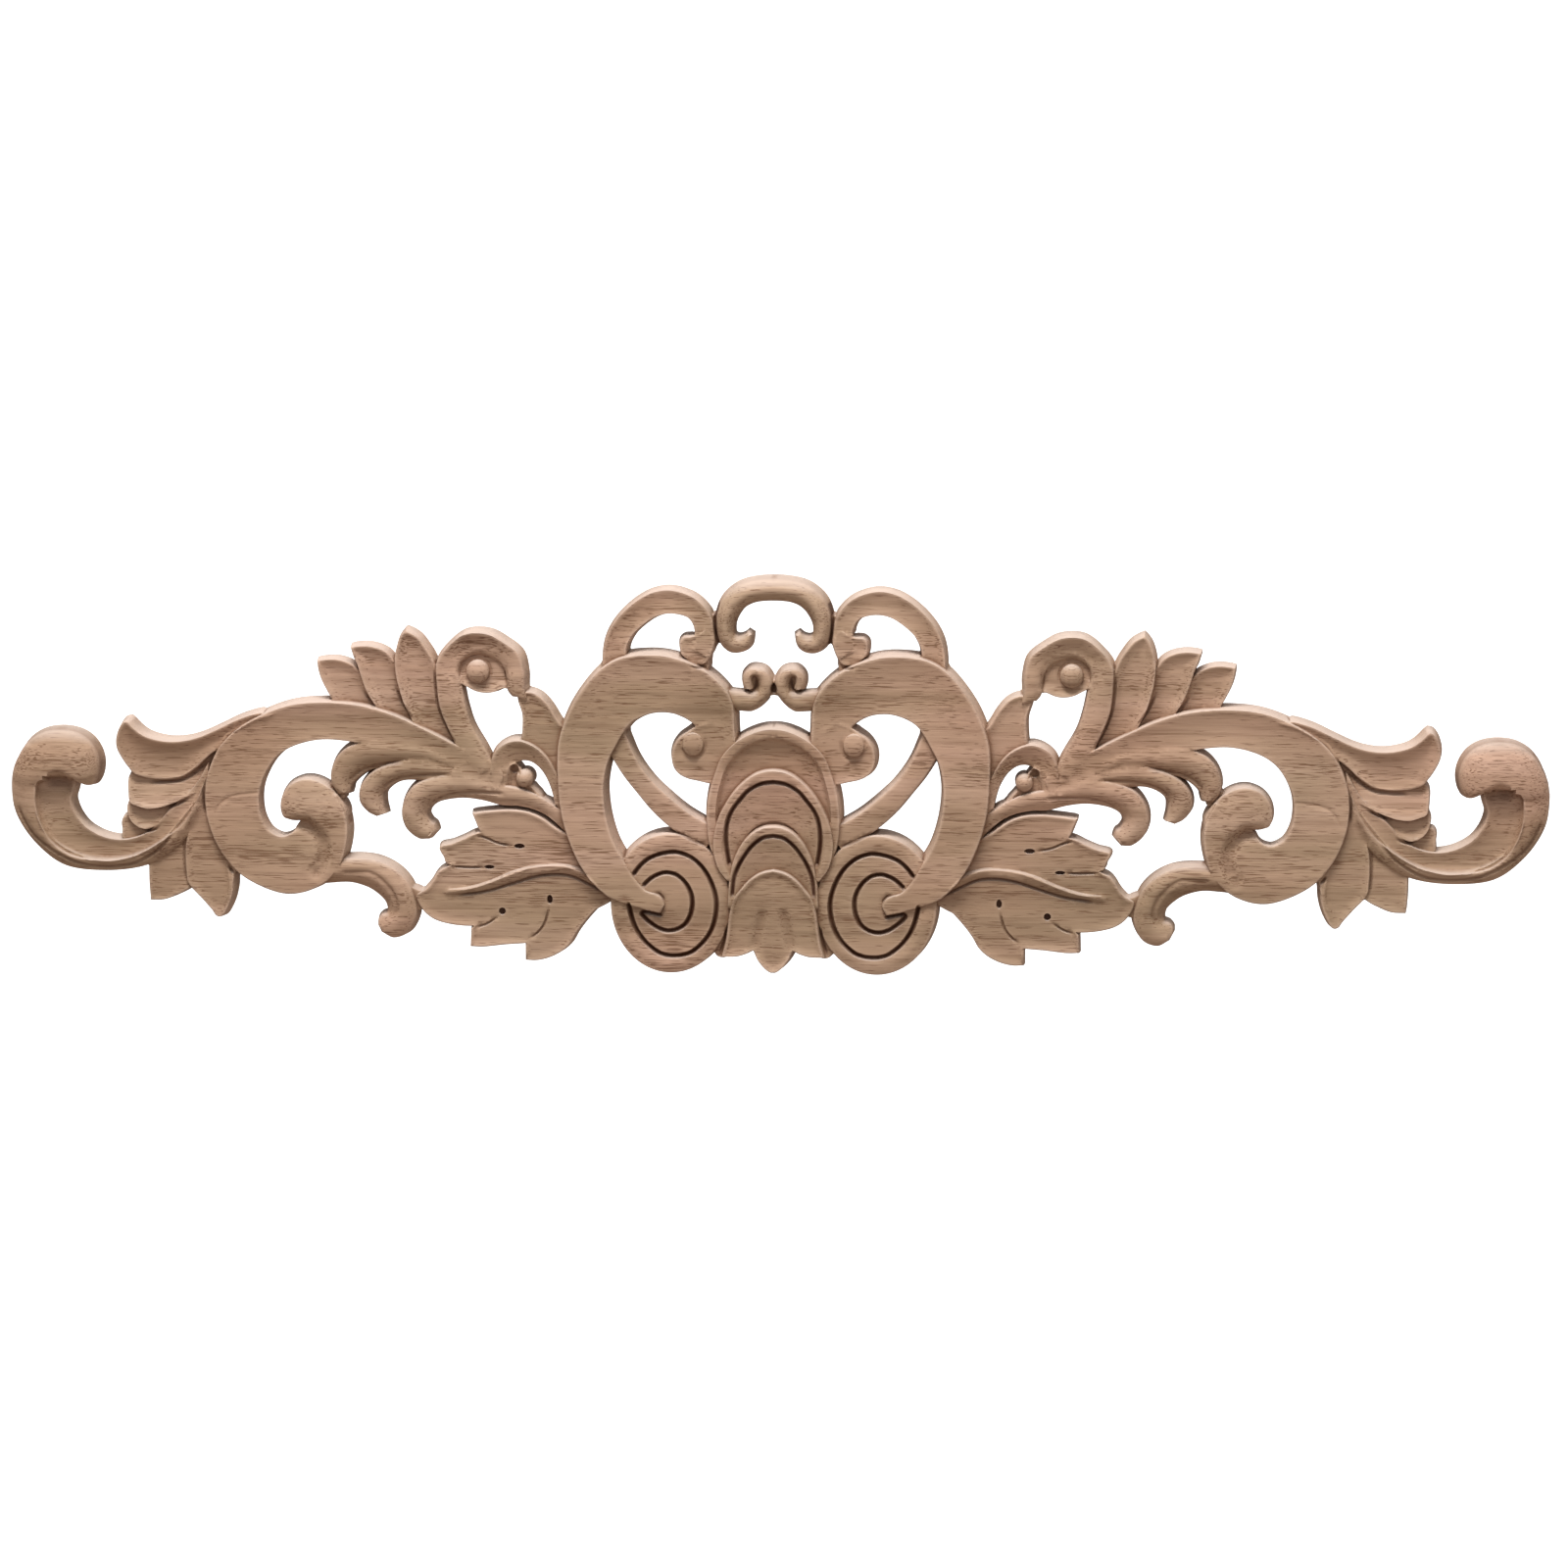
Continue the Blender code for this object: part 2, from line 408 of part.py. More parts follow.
parts_collection = bpy.data.collections.new(COLLECTION)
blank_collection = bpy.data.collections.new("Blanks")
cutter_collection = bpy.data.collections.new("Cutters")
for coll in (parts_collection, blank_collection, cutter_collection):
    bpy.context.scene.collection.children.link(coll)

blank_count = [0]


def back_depth():
    """Each blank is let in a little deeper than the last, so no two back
    faces lie in one plane before the board is planed."""
    blank_count[0] += 1
    return BACK_STOCK + 0.017 * blank_count[0]


def as_object(name, bm, coll):
    bmesh.ops.recalc_face_normals(bm, faces=bm.faces[:])
    mesh = bpy.data.meshes.new(name)
    bm.to_mesh(mesh)
    bm.free()
    obj = bpy.data.objects.new(name, mesh)
    coll.objects.link(obj)
    return obj


def band_heights(keys, at):
    """Inner, middle and outer height at cross-line number 'at'."""
    ks = sorted(keys)
    if at <= ks[0]:
        return np.array(keys[ks[0]])
    for a, b in zip(ks, ks[1:]):
        if at <= b:
            f = (at - a) / (b - a)
            return np.array(keys[a]) * (1 - f) + np.array(keys[b]) * f
    return np.array(keys[ks[-1]])


def band(name, rows, keys, stations_tol, across=(0.0, 0.5, 1.0)):
    """Loft of a band through its cross-lines, dished or crowned across."""
    run = catmull(rows, 8)
    index = thin(run, stations_tol)
    back = back_depth()
    bm = bmesh.new()
    rings = []
    for i in index:
        inner, outer = run[i][:2], run[i][2:]
        hi, hm, ho = band_heights(keys, i / 8)
        side = (outer - inner) / max(np.linalg.norm(outer - inner), 1e-6)
        ring = []
        for u in across:
            p = inner * (1 - u) + outer * u
            h = hi * (1 - u) * (1 - 2 * u) + hm * 4 * u * (1 - u) + ho * u * (2 * u - 1)
            ring.append(bm.verts.new((p[0] * MM, -h * MM, p[1] * MM)))
        low_out = outer + side * DRAFT * (ho + back)
        low_in = inner - side * (0.0 if name in UPRIGHT_INSIDE else DRAFT) * (hi + back)
        ring.append(bm.verts.new((low_out[0] * MM, back * MM, low_out[1] * MM)))
        ring.append(bm.verts.new((low_in[0] * MM, back * MM, low_in[1] * MM)))
        rings.append(ring)
    for a, b in zip(rings, rings[1:]):
        for j in range(len(a)):
            k = (j + 1) % len(a)
            bm.faces.new((a[j], a[k], b[k], b[j]))
    bm.faces.new(rings[0])
    bm.faces.new(rings[-1][::-1])
    bmesh.ops.triangulate(bm, faces=bm.faces[:])
    return as_object(name, bm, blank_collection)


def plate(name, corners, height, slope_x, slope_z):
    """Flat outline extruded to its level, its face tilted by the two slopes
    and its walls flared to the back."""
    loop = outline(corners, TOL_LINE)
    out = normals(loop)
    back = back_depth()
    curve = bpy.data.curves.new(name, "CURVE")
    curve.dimensions = "2D"
    curve.fill_mode = "BOTH"
    spline = curve.splines.new("POLY")
    spline.points.add(len(loop) - 1)
    for point, (x, z) in zip(spline.points, loop):
        point.co = (x * MM, z * MM, 0.0, 1.0)
    spline.use_cyclic_u = True
    curve.extrude = 0.5 * (height + back) * MM
    source = bpy.data.objects.new(name + "_outline", curve)
    blank_collection.objects.link(source)
    bpy.context.view_layer.update()
    mesh = bpy.data.meshes.new_from_object(
        source.evaluated_get(bpy.context.evaluated_depsgraph_get()))
    bpy.data.objects.remove(source, do_unlink=True)
    bpy.data.curves.remove(curve)
    bm = bmesh.new()
    bm.from_mesh(mesh)
    bpy.data.meshes.remove(mesh)
    bmesh.ops.remove_doubles(bm, verts=bm.verts[:], dist=0.00002)
    cx, cz = loop.mean(axis=0)
    for v in bm.verts:
        x, z, up = v.co.x / MM, v.co.y / MM, v.co.z / MM
        if up > 0:
            y = -(up + 0.5 * (height - back) + slope_x * (x - cx) + slope_z * (z - cz))
        else:
            k = int(np.argmin((loop[:, 0] - x) ** 2 + (loop[:, 1] - z) ** 2))
            x, z = loop[k] + out[k] * DRAFT * (height + back)
            y = back
        v.co = (x * MM, y * MM, z * MM)
    bmesh.ops.remove_doubles(bm, verts=bm.verts[:], dist=0.00002)
    bmesh.ops.triangulate(bm, faces=bm.faces[:])
    return as_object(name, bm, blank_collection)


def dome(name, x, z, rx, rz, top, segments=10, rings=6):
    """Half-round boss standing on the back."""
    bm = bmesh.new()
    bmesh.ops.create_uvsphere(bm, u_segments=segments, v_segments=rings, radius=1.0)
    depth = back_depth()
    for v in bm.verts:
        sx, sy, sz = v.co
        y = -(top - 3.6) - 3.6 * sz if sz >= 0 else -(top - 3.6) - (depth + top - 3.6) * sz
        v.co = ((x + rx * sx) * MM, y * MM, (z + rz * sy) * MM)
    return as_object(name, bm, blank_collection)


def ball(name, corners, low, high):
    """Rounded end of a scroll: its outline drawn in by steps as it rises."""
    loop = outline(corners, TOL_LINE)
    out = normals(loop)
    centre = loop.mean(axis=0)
    back = back_depth()
    steps = [(0.0, low), (0.12, low + 0.45 * (high - low)),
             (0.34, low + 0.8 * (high - low)), (0.64, low + 0.96 * (high - low))]
    bm = bmesh.new()
    rings = [[bm.verts.new(((p[0]) * MM, back * MM, (p[1]) * MM))
              for p in loop + out * DRAFT * (low + back)]]
    for share, h in steps:
        rings.append([bm.verts.new((p[0] * MM, -h * MM, p[1] * MM))
                      for p in loop * (1 - share) + centre * share])
    for a, b in zip(rings, rings[1:]):
        for j in range(len(a)):
            k = (j + 1) % len(a)
            bm.faces.new((a[j], a[k], b[k], b[j]))
    tip = bm.verts.new((centre[0] * MM, -high * MM, centre[1] * MM))
    last = rings[-1]
    for j in range(len(last)):
        bm.faces.new((last[j], last[(j + 1) % len(last)], tip))
    bm.faces.new(rings[0][::-1])
    bmesh.ops.triangulate(bm, faces=bm.faces[:])
    return as_object(name, bm, blank_collection)


def groove(name, points, radius):
    """Tube along the points, to be cut away as a groove."""
    curve = bpy.data.curves.new(name, "CURVE")
    curve.dimensions = "3D"
    spline = curve.splines.new("POLY")
    spline.points.add(len(points) - 1)
    for point, (x, y, z) in zip(spline.points, points):
        point.co = (x * MM, y * MM, z * MM, 1.0)
    curve.bevel_depth = radius * MM
    curve.bevel_resolution = 0
    curve.use_fill_caps = True
    source = bpy.data.objects.new(name + "_line", curve)
    cutter_collection.objects.link(source)
    bpy.context.view_layer.update()
    mesh = bpy.data.meshes.new_from_object(
        source.evaluated_get(bpy.context.evaluated_depsgraph_get()))
    bpy.data.objects.remove(source, do_unlink=True)
    bpy.data.curves.remove(curve)
    bm = bmesh.new()
    bm.from_mesh(mesh)
    bpy.data.meshes.remove(mesh)
    bmesh.ops.remove_doubles(bm, verts=bm.verts[:], dist=0.00001)
    bmesh.ops.triangulate(bm, faces=bm.faces[:])
    obj = as_object(name, bm, cutter_collection)
    obj.hide_render = True
    obj.display_type = "WIRE"
    return obj


def apply_boolean(obj, operation, other=None, collection=None, self_union=False):
    mod = obj.modifiers.new("cut", "BOOLEAN")
    mod.solver = "EXACT"
    mod.operation = operation
    mod.use_self = self_union
    if collection is not None:
        mod.operand_type = "COLLECTION"
        mod.collection = collection
    else:
        mod.object = other
    bpy.context.view_layer.update()
    mesh = bpy.data.meshes.new_from_object(
        obj.evaluated_get(bpy.context.evaluated_depsgraph_get()))
    obj.modifiers.clear()
    old = obj.data
    obj.data = mesh
    bpy.data.meshes.remove(old)


def settle_order(mesh):
    """The same shape with its points and faces in a fixed order, so that the
    steps after it give the same result each time."""
    co = np.empty(len(mesh.vertices) * 3, np.float32)
    mesh.vertices.foreach_get("co", co)
    co = co.reshape(-1, 3)
    order = np.lexsort((co[:, 2], co[:, 1], co[:, 0]))
    rank = np.empty(len(order), int)
    rank[order] = np.arange(len(order))
    faces = []
    for face in mesh.polygons:
        ids = [int(rank[i]) for i in face.vertices]
        k = ids.index(min(ids))
        faces.append(tuple(ids[k:] + ids[:k]))
    new = bpy.data.meshes.new(mesh.name)
    new.from_pydata([tuple(float(c) for c in co[i]) for i in order], [], sorted(faces))
    new.update()
    return new


# ------------------------------------------------------------------ the blanks
blanks = []
for name, (rows, keys) in BANDS.items():
    blanks.append(band(name, rows, keys, TOL_BAND))
for name, (corners, height, sx, sz) in PLATES.items():
    blanks.append(plate(name, corners, height, sx, sz))
for name, size in DOMES.items():
    blanks.append(dome(name, *size))
for name, (corners, low, high) in BALLS.items():
    blanks.append(ball(name, corners, low, high))

ring = []
for k in range(28):
    a = 2 * math.pi * k / 28
    ring.append((DISC[0] + DISC[2] * math.cos(a), DISC[1] + DISC[3] * math.sin(a)))
blanks.append(plate("scroll_disc", ring, H_DISC, 0.0, 0.0))

# ------------------------------------------------- one board out of the blanks
body = blanks[0]
blank_collection.objects.unlink(body)
parts_collection.objects.link(body)
body.name = NODE
apply_boolean(body, "UNION", collection=blank_collection)
for blank in blanks[1:]:
    bpy.data.objects.remove(blank, do_unlink=True)

# --------------------------------------------------------------- the grooves
for name, (cx, cz, rx, rz, start, end) in GROOVES.items():
    line = []
    for k in range(19):
        a = math.radians(start + (end - start) * k / 18)
        line.append((cx + rx * math.cos(a), -H_DISC - 0.15, cz + rz * math.sin(a)))
    apply_boolean(body, "DIFFERENCE", groove(name, line, GROOVE_R))

# ------------------------------------ planed back, and the half cut on the axis
box = bmesh.new()
bmesh.ops.create_cube(box, size=1.0)
bmesh.ops.scale(box, vec=(0.7, 0.02, 0.4), verts=box.verts[:])
bmesh.ops.translate(box, vec=(-0.1, 0.01, 0.0), verts=box.verts[:])
plane = as_object("back_plane", box, cutter_collection)
plane.hide_render = True
plane.display_type = "WIRE"
apply_boolean(body, "DIFFERENCE", plane)

body.data = settle_order(body.data)
bm = bmesh.new()
bm.from_mesh(body.data)
bmesh.ops.bisect_plane(bm, geom=bm.verts[:] + bm.edges[:] + bm.faces[:],
                       plane_co=(0, 0, 0), plane_no=(1, 0, 0), dist=0.00001,
                       clear_outer=True)
bmesh.ops.remove_doubles(bm, verts=bm.verts[:], dist=0.00003)
bmesh.ops.dissolve_degenerate(bm, edges=bm.edges[:], dist=0.00002)
face_edges = [e for e in bm.edges
              if not all(abs(v.co.y) < 0.000001 for v in e.verts)]
bmesh.ops.dissolve_limit(bm, angle_limit=math.radians(MERGE_ANGLE),
                         verts=[v for v in bm.verts if abs(v.co.y) > 0.000001],
                         edges=face_edges)
bmesh.ops.triangulate(bm, faces=bm.faces[:])
for v in bm.verts:
    if abs(v.co.x) < 0.00005:
        v.co.x = 0.0
bmesh.ops.delete(bm, geom=[f for f in bm.faces if all(v.co.x == 0.0 for v in f.verts)],
                 context="FACES")
bm.to_mesh(body.data)
bm.free()

mirror = body.modifiers.new("mirror", "MIRROR")
mirror.use_axis = (True, False, False)
mirror.use_clip = True
mirror.merge_threshold = 0.00005
bpy.context.view_layer.update()
whole = bpy.data.meshes.new_from_object(
    body.evaluated_get(bpy.context.evaluated_depsgraph_get()))
body.modifiers.clear()
body.data = whole

# the planed back is filled again as one flat face with its piercings
bm = bmesh.new()
bm.from_mesh(whole)
bmesh.ops.delete(bm, geom=[f for f in bm.faces
                           if all(abs(v.co.y) < 0.000001 for v in f.verts)],
                 context="FACES")
rim = [e for e in bm.edges if len(e.link_faces) == 1]
bmesh.ops.triangle_fill(bm, use_beauty=True, use_dissolve=False, edges=rim,
                        normal=(0.0, 1.0, 0.0))
bmesh.ops.recalc_face_normals(bm, faces=bm.faces[:])

# the drawing is set to the board's length and height, centred on the origin
low_x, high_x = min(v.co.x for v in bm.verts), max(v.co.x for v in bm.verts)
low_z, high_z = min(v.co.z for v in bm.verts), max(v.co.z for v in bm.verts)
bmesh.ops.translate(bm, vec=(0.0, 0.0, -0.5 * (low_z + high_z)), verts=bm.verts[:])
bmesh.ops.scale(bm, vec=(LENGTH * MM / (high_x - low_x), 1.0,
                         HEIGHT * MM / (high_z - low_z)), verts=bm.verts[:])
bm.to_mesh(whole)
bm.free()

# -------------------------------------------------------------- the material
wood = bpy.data.materials.new("Rubberwood")
wood.use_nodes = True
shader = wood.node_tree.nodes["Principled BSDF"]
shader.inputs["Base Color"].default_value = (0.34, 0.22, 0.155, 1.0)
shader.inputs["Roughness"].default_value = 0.62
shader.inputs["Metallic"].default_value = 0.0
body.data.materials.clear()
body.data.materials.append(wood)
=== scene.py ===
"""Carved crest onlay in bare rubberwood, shown in a pale studio.

The carving is one relief over a flat back.  Every scroll, leaf and petal gives
a height over the back, the highest one shows, and grooves, ridges and pits are
cut into that.  The relief is meshed along each edge, wall foot, crease and
rim, mirrored, and closed with the flat back.

Frame: X to the right, Z up, the back in the plane Y = 0, the carving towards
-Y.  The drawing is in millimetres, for the left half; the right half is its
mirror image.
"""
import math

import bmesh
import bpy
import numpy as np
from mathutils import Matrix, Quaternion, Vector
from mathutils.geometry import delaunay_2d_cdt


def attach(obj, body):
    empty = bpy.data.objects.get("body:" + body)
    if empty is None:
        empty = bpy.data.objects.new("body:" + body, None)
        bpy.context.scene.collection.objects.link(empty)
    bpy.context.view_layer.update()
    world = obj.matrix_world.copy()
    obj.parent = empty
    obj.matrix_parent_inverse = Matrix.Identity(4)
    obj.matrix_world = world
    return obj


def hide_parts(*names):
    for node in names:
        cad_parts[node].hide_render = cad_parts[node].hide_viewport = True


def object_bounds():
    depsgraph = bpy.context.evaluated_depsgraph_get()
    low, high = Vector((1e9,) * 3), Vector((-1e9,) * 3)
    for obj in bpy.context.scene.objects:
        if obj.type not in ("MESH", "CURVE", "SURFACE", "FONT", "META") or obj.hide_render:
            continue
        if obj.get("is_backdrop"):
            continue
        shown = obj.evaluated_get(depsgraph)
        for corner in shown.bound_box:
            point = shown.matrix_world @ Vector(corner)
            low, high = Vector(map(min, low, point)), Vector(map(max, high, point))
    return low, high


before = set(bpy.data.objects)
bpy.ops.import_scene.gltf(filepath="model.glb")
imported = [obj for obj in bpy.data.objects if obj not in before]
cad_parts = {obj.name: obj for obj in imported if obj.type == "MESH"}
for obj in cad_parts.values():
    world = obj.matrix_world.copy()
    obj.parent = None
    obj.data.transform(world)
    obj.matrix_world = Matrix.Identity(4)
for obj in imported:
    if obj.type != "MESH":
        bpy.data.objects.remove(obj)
cad_low, cad_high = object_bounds()

# ---------------------------------------------------------------- named sizes
MM = 0.001
NODE = "carved_onlay"
PIECE = "carved_onlay_relief"
DRAFT = 0.10              # the walls flare outwards to the back, mm per mm
DRAFT_INSIDE = 0.035      # the same inside the tight curls
GRID = 0.9                # spacing of the points between the drawn lines
RASTER = 0.35             # spacing of the map that gives depth and shade
EDGE_R = 0.40             # rounding of the carved edges
TAPER = 3.0               # length over which the soft cuts run out
UPRIGHT_INSIDE = ("centre_curl", "crest_ring", "small_curl", "horn", "branch")

# ------------------------------------------------------- bands (cross-lines)
# name: (cross-lines, {cross-line number: (inner, middle, outer) height})
BANDS = {
    "volute_channel": ([
        (-183, 3, -183, -3.6), (-188, -5, -185.6, -9.6),
        (-195.5, -12, -190.8, -18.2), (-202, -19, -198.2, -24.2),
        (-209, -22, -207.2, -28.9), (-216, -21.7, -217.2, -30.2),
        (-222.3, -18.8, -227.8, -28.9), (-226, -14.6, -235.5, -23.8),
        (-227.8, -9.6, -239.8, -14.4), (-227, -6, -240.4, -6),
        (-226, -2, -239, 0.6)],
        {0: (8.2, 7.9, 8.7), 4: (8.2, 7.5, 9.1), 10: (8.0, 6.7, 9.1)}),
    "volute_band": ([
        (-184, -2, -183.5, -6), (-186.4, -8.5, -184.8, -12),
        (-191.2, -16.5, -189.5, -20.5), (-198.6, -22.5, -196, -26.5),
        (-207.5, -27.3, -204.5, -31), (-217, -28.7, -217, -32.6),
        (-227, -27.7, -230.3, -31), (-234.3, -22.7, -239.8, -23.8),
        (-238.4, -14, -245.8, -14.6), (-239, -6, -247.3, -6),
        (-237, 2, -246.2, 2), (-233, 4, -242, 9)],
        {0: (9.2, 8.6, 7.6), 6: (10.2, 9.4, 7.4), 11: (11.0, 10.6, 8.0)}),
    "branch": ([
        (-96, 0, -94, 5.5), (-104, 3, -103, 10.3), (-113, 6, -111, 14.4),
        (-124, 8.3, -122, 19.5), (-134, 10.4, -133, 22.7),
        (-145, 11.4, -146, 23.7), (-153.8, 9.6, -158, 22.1),
        (-160, 6, -170.5, 16.3), (-164, 0.4, -179.3, 8),
        (-166.2, -6, -183.8, -4), (-166.0, -13, -183.3, -14.5),
        (-163.7, -18.2, -179.2, -25.3), (-160.2, -20.5, -171.5, -34),
        (-157.5, -20.3, -159, -39.3), (-155.5, -19, -148.5, -37.5),
        (-154.6, -17.3, -141, -31), (-153.6, -16, -138.0, -22),
        (-152.6, -14, -138.2, -14), (-152, -12, -141.7, -6.6)],
        {0: (9.0, 9.0, 9.4), 5: (9.2, 8.6, 10.2), 9: (9.4, 9.2, 9.8),
         14: (8.6, 9.2, 9.4), 15: (8.2, 9.0, 9.8), 16: (7.6, 8.9, 9.9),
         17: (7.0, 8.7, 9.7), 18: (6.8, 8.0, 8.8)}),
    "horn": ([
        (-90, 3, -95, 0), (-92.9, 9, -100.3, 6), (-96.9, 16, -104.3, 14),
        (-99.0, 22.5, -107.4, 22), (-100.3, 29, -108.3, 29.5),
        (-101.4, 34, -108.3, 36.8), (-99.9, 37.6, -104.7, 42),
        (-96.6, 39.4, -99.1, 46.2), (-92.6, 39.4, -92.1, 46.4),
        (-89.1, 38, -86.5, 43.6), (-86.7, 35, -81.7, 39.6),
        (-85.9, 31.5, -80.1, 33.5), (-85.6, 28, -80.0, 28.4),
        (-84.1, 25.8, -79.2, 24.8)],
        {0: (8.6, 9.4, 8.8), 4: (8.2, 9.4, 9.2), 7: (7.0, 8.2, 10.4),
         9: (7.4, 8.8, 10.2), 11: (8.4, 9.8, 9.2), 13: (8.2, 9.2, 8.6)}),
    "small_curl": ([
        (-86, -4.5, -88, -6.5), (-86, -2.5, -90.5, -3), (-85.3, 0.5, -91.4, 1.5),
        (-84.3, 2.8, -90, 7.3), (-82.4, 4.4, -86.5, 10.6), (-80, 4.9, -82, 11.7),
        (-77.4, 4.1, -77.3, 10), (-74.8, 1.8, -73.5, 6.8),
        (-72.7, -1.8, -70.4, 2), (-71.3, -5.8, -68, -4), (-70.5, -9.6, -66, -11)],
        {0: (7.4, 8.6, 9.0), 5: (7.4, 8.6, 10.2), 10: (8.4, 9.0, 9.8)}),
    "finger_1": ([
        (-91, -1.6, -91.5, 2), (-97, -1.2, -97.6, 3.4), (-104, 0.4, -105, 7), (-112, 3.2, -113, 10),
        (-121, 3.0, -122, 10.6), (-127, 2.0, -130, 11.2),
        (-131, 0.9, -136.5, 9.4), (-134.2, -1.2, -140.5, 6.2),
        (-136.3, -3.3, -142.8, 1.8), (-136.8, -5, -143, -2.8),
        (-137.1, -6.4, -140.8, -6.8)],
        {0: (6.0, 6.6, 6.2), 1: (7.0, 8.6, 8.2), 5: (6.8, 9.8, 8.8),
         10: (7.0, 8.6, 7.4)}),
    "finger_2": ([
        (-91, -5, -91.5, -1), (-97, -3.8, -98, 0.6), (-105, -2.4, -106, 3), (-112, -2.2, -113, 5),
        (-118, -1.9, -121, 4.5), (-121.8, -2.8, -127, 2.3),
        (-124.3, -4.3, -131, -0.5), (-126, -6.3, -133.7, -4.6),
        (-126.2, -8.8, -133.8, -9), (-125.9, -11, -131.4, -12.3),
        (-125.3, -12.9, -128.5, -13.9)],
        {0: (6.0, 6.6, 6.2), 1: (7.0, 8.8, 8.2), 5: (6.8, 9.8, 8.6),
         10: (6.8, 8.4, 7.2)}),
    "finger_3": ([
        (-64, -22, -63, -14), (-71, -15, -69.6, -10.5), (-76, -11.8, -74.6, -7.2),
        (-82, -10.2, -81, -4.4), (-88, -9.9, -88, -3), (-94, -8.4, -94.5, -1.5),
        (-100, -7.7, -101.5, 0), (-105.5, -8.3, -109, -0.6),
        (-109.3, -9.5, -115.3, -3), (-111.5, -11.3, -119, -7.5),
        (-112.1, -13.3, -120.2, -12.7), (-111, -15.3, -118.8, -17.6),
        (-109.7, -16.4, -115, -20.9), (-109, -18.5, -111.4, -21.1)],
        {0: (7.2, 8.4, 8.4), 3: (7.0, 8.8, 8.4), 7: (6.4, 9.9, 8.8),
         13: (6.8, 8.6, 7.4)}),
    "lower_hook": ([
        (-150, -36.9, -150, -26.4), (-143, -36.1, -142.4, -27.7),
        (-137.2, -35.9, -134.2, -27.5), (-131.8, -37.4, -128, -28.4),
        (-128.5, -39.5, -122.5, -31.2), (-126.3, -41.7, -118.5, -35.4),
        (-125.4, -43.9, -116.3, -40.7), (-125.6, -45.6, -115.7, -46),
        (-127.1, -46.3, -118.4, -51.8), (-128.3, -47.8, -123.2, -53.8),
        (-128.4, -49.6, -127.2, -51.9)],
        {0: (6.2, 9.6, 8.0), 6: (6.2, 9.8, 8.0), 10: (7.2, 8.8, 7.6)}),
    "heart_scroll": ([
        (-24, 0, -15.2, -2), (-24.5, 8, -12.4, 8), (-24.8, 15.6, -12.4, 17),
        (-26.3, 18.2, -13.2, 25.3), (-30.5, 20.5, -17.4, 31.3),
        (-34, 21.3, -24.1, 36.3), (-38, 21.2, -33, 39.5), (-42, 20, -41, 40.1),
        (-45.5, 18, -49, 38.9), (-48, 15, -55.6, 35), (-50.5, 10.5, -61.6, 28),
        (-52.8, 6, -66.0, 20.4), (-54.1, 1, -69, 11), (-54.6, -5, -69.3, 0),
        (-53.7, -13, -68.4, -11), (-51.4, -20.9, -65.8, -20.7),
        (-48, -27.2, -61.5, -30), (-44.5, -33.2, -55, -37.7),
        (-41.3, -36.8, -48.3, -41.0), (-37.5, -38.1, -41.6, -43.0),
        (-35.4, -39.8, -39.0, -44.4), (-35.0, -41.5, -36.4, -44.1)],
        {0: (8.6, 9.0, 8.6), 1: (9.5, 9.8, 11.0), 2: (9.9, 10.0, 11.2),
         3: (10.2, 10.2, 11.4), 5: (10.6, 10.3, 11.6), 8: (10.8, 10.2, 11.8),
         13: (11.2, 11.0, 11.4), 21: (11.4, 11.6, 11.4)}),
    "strap": ([
        (-55, 12, -49.6, 20), (-52, 6.5, -47, 12.8), (-48.3, 0.5, -44, 5.8),
        (-44, -5, -39.4, -0.8), (-39.5, -10.5, -34.3, -5.8),
        (-34.5, -15.3, -28, -11), (-29, -19.3, -21.5, -14.9),
        (-22, -23, -16, -18)],
        {0: (9.2, 9.5, 9.2)}),
    "side_arch": ([
        (-46.3, 35, -54.1, 29), (-47.4, 41, -54.9, 38), (-45.4, 46, -53.4, 46),
        (-41.4, 49.9, -48.7, 53.1), (-37.3, 52.4, -41.4, 58.9),
        (-33.1, 53.2, -34.0, 60.9), (-29.1, 52.6, -26.9, 59.2),
        (-26.8, 51.3, -22.3, 55.7), (-25.4, 48.3, -19.5, 51),
        (-25.4, 44.5, -18.8, 45), (-26, 41.5, -20.5, 38.9)],
        {0: (8.6, 7.9, 8.9), 6: (8.6, 8.0, 9.0), 10: (8.4, 8.6, 8.4)}),
    "crest_ring": ([
        (-8.1, 47.8, -6.9, 46.6), (-9.3, 46.7, -7.6, 42.8),
        (-11, 46.2, -10.3, 40.8), (-12.3, 46.6, -14, 40.8),
        (-12.6, 48, -17, 43.5), (-12.3, 50.4, -18.4, 48.5),
        (-10.9, 53.2, -18.1, 54), (-8.7, 55.6, -15.4, 59.3),
        (-5.2, 57.1, -9.5, 63.3), (0, 57.5, 0, 64.6), (5.2, 57.1, 9.5, 63.3)],
        {0: (7.0, 8.4, 7.4), 4: (7.4, 10.8, 7.8), 10: (7.6, 11.4, 8.0)}),
    "centre_curl": ([
        (-21, 31, -21, 23.6), (-15, 28.6, -15, 22.3), (-10, 28, -10, 21.8),
        (-7, 27.8, -6.5, 21.9), (-5.3, 28.3, -3, 24.6), (-4.9, 30, -0.6, 28.5),
        (-5.2, 32, -0.7, 32), (-6, 33, -3, 35.3), (-6.8, 32.6, -7, 36.0),
        (-6.8, 31, -9.5, 34), (-6.5, 29.7, -10, 31.5), (-6.3, 28.9, -9.6, 28.9)],
        {0: (8.4, 9.6, 8.6), 4: (7.4, 9.8, 8.2), 11: (7.4, 9.4, 7.8)}),
    "scallop_1": ([
        (-14.5, -28, -17.2, -30.4), (-17, -22, -20.4, -22), (-17, -14.5, -21.3, -14),
        (-15, -9, -20.8, -6.5), (-12, -4.5, -18.9, 1), (-9, -1.5, -16.3, 7.3),
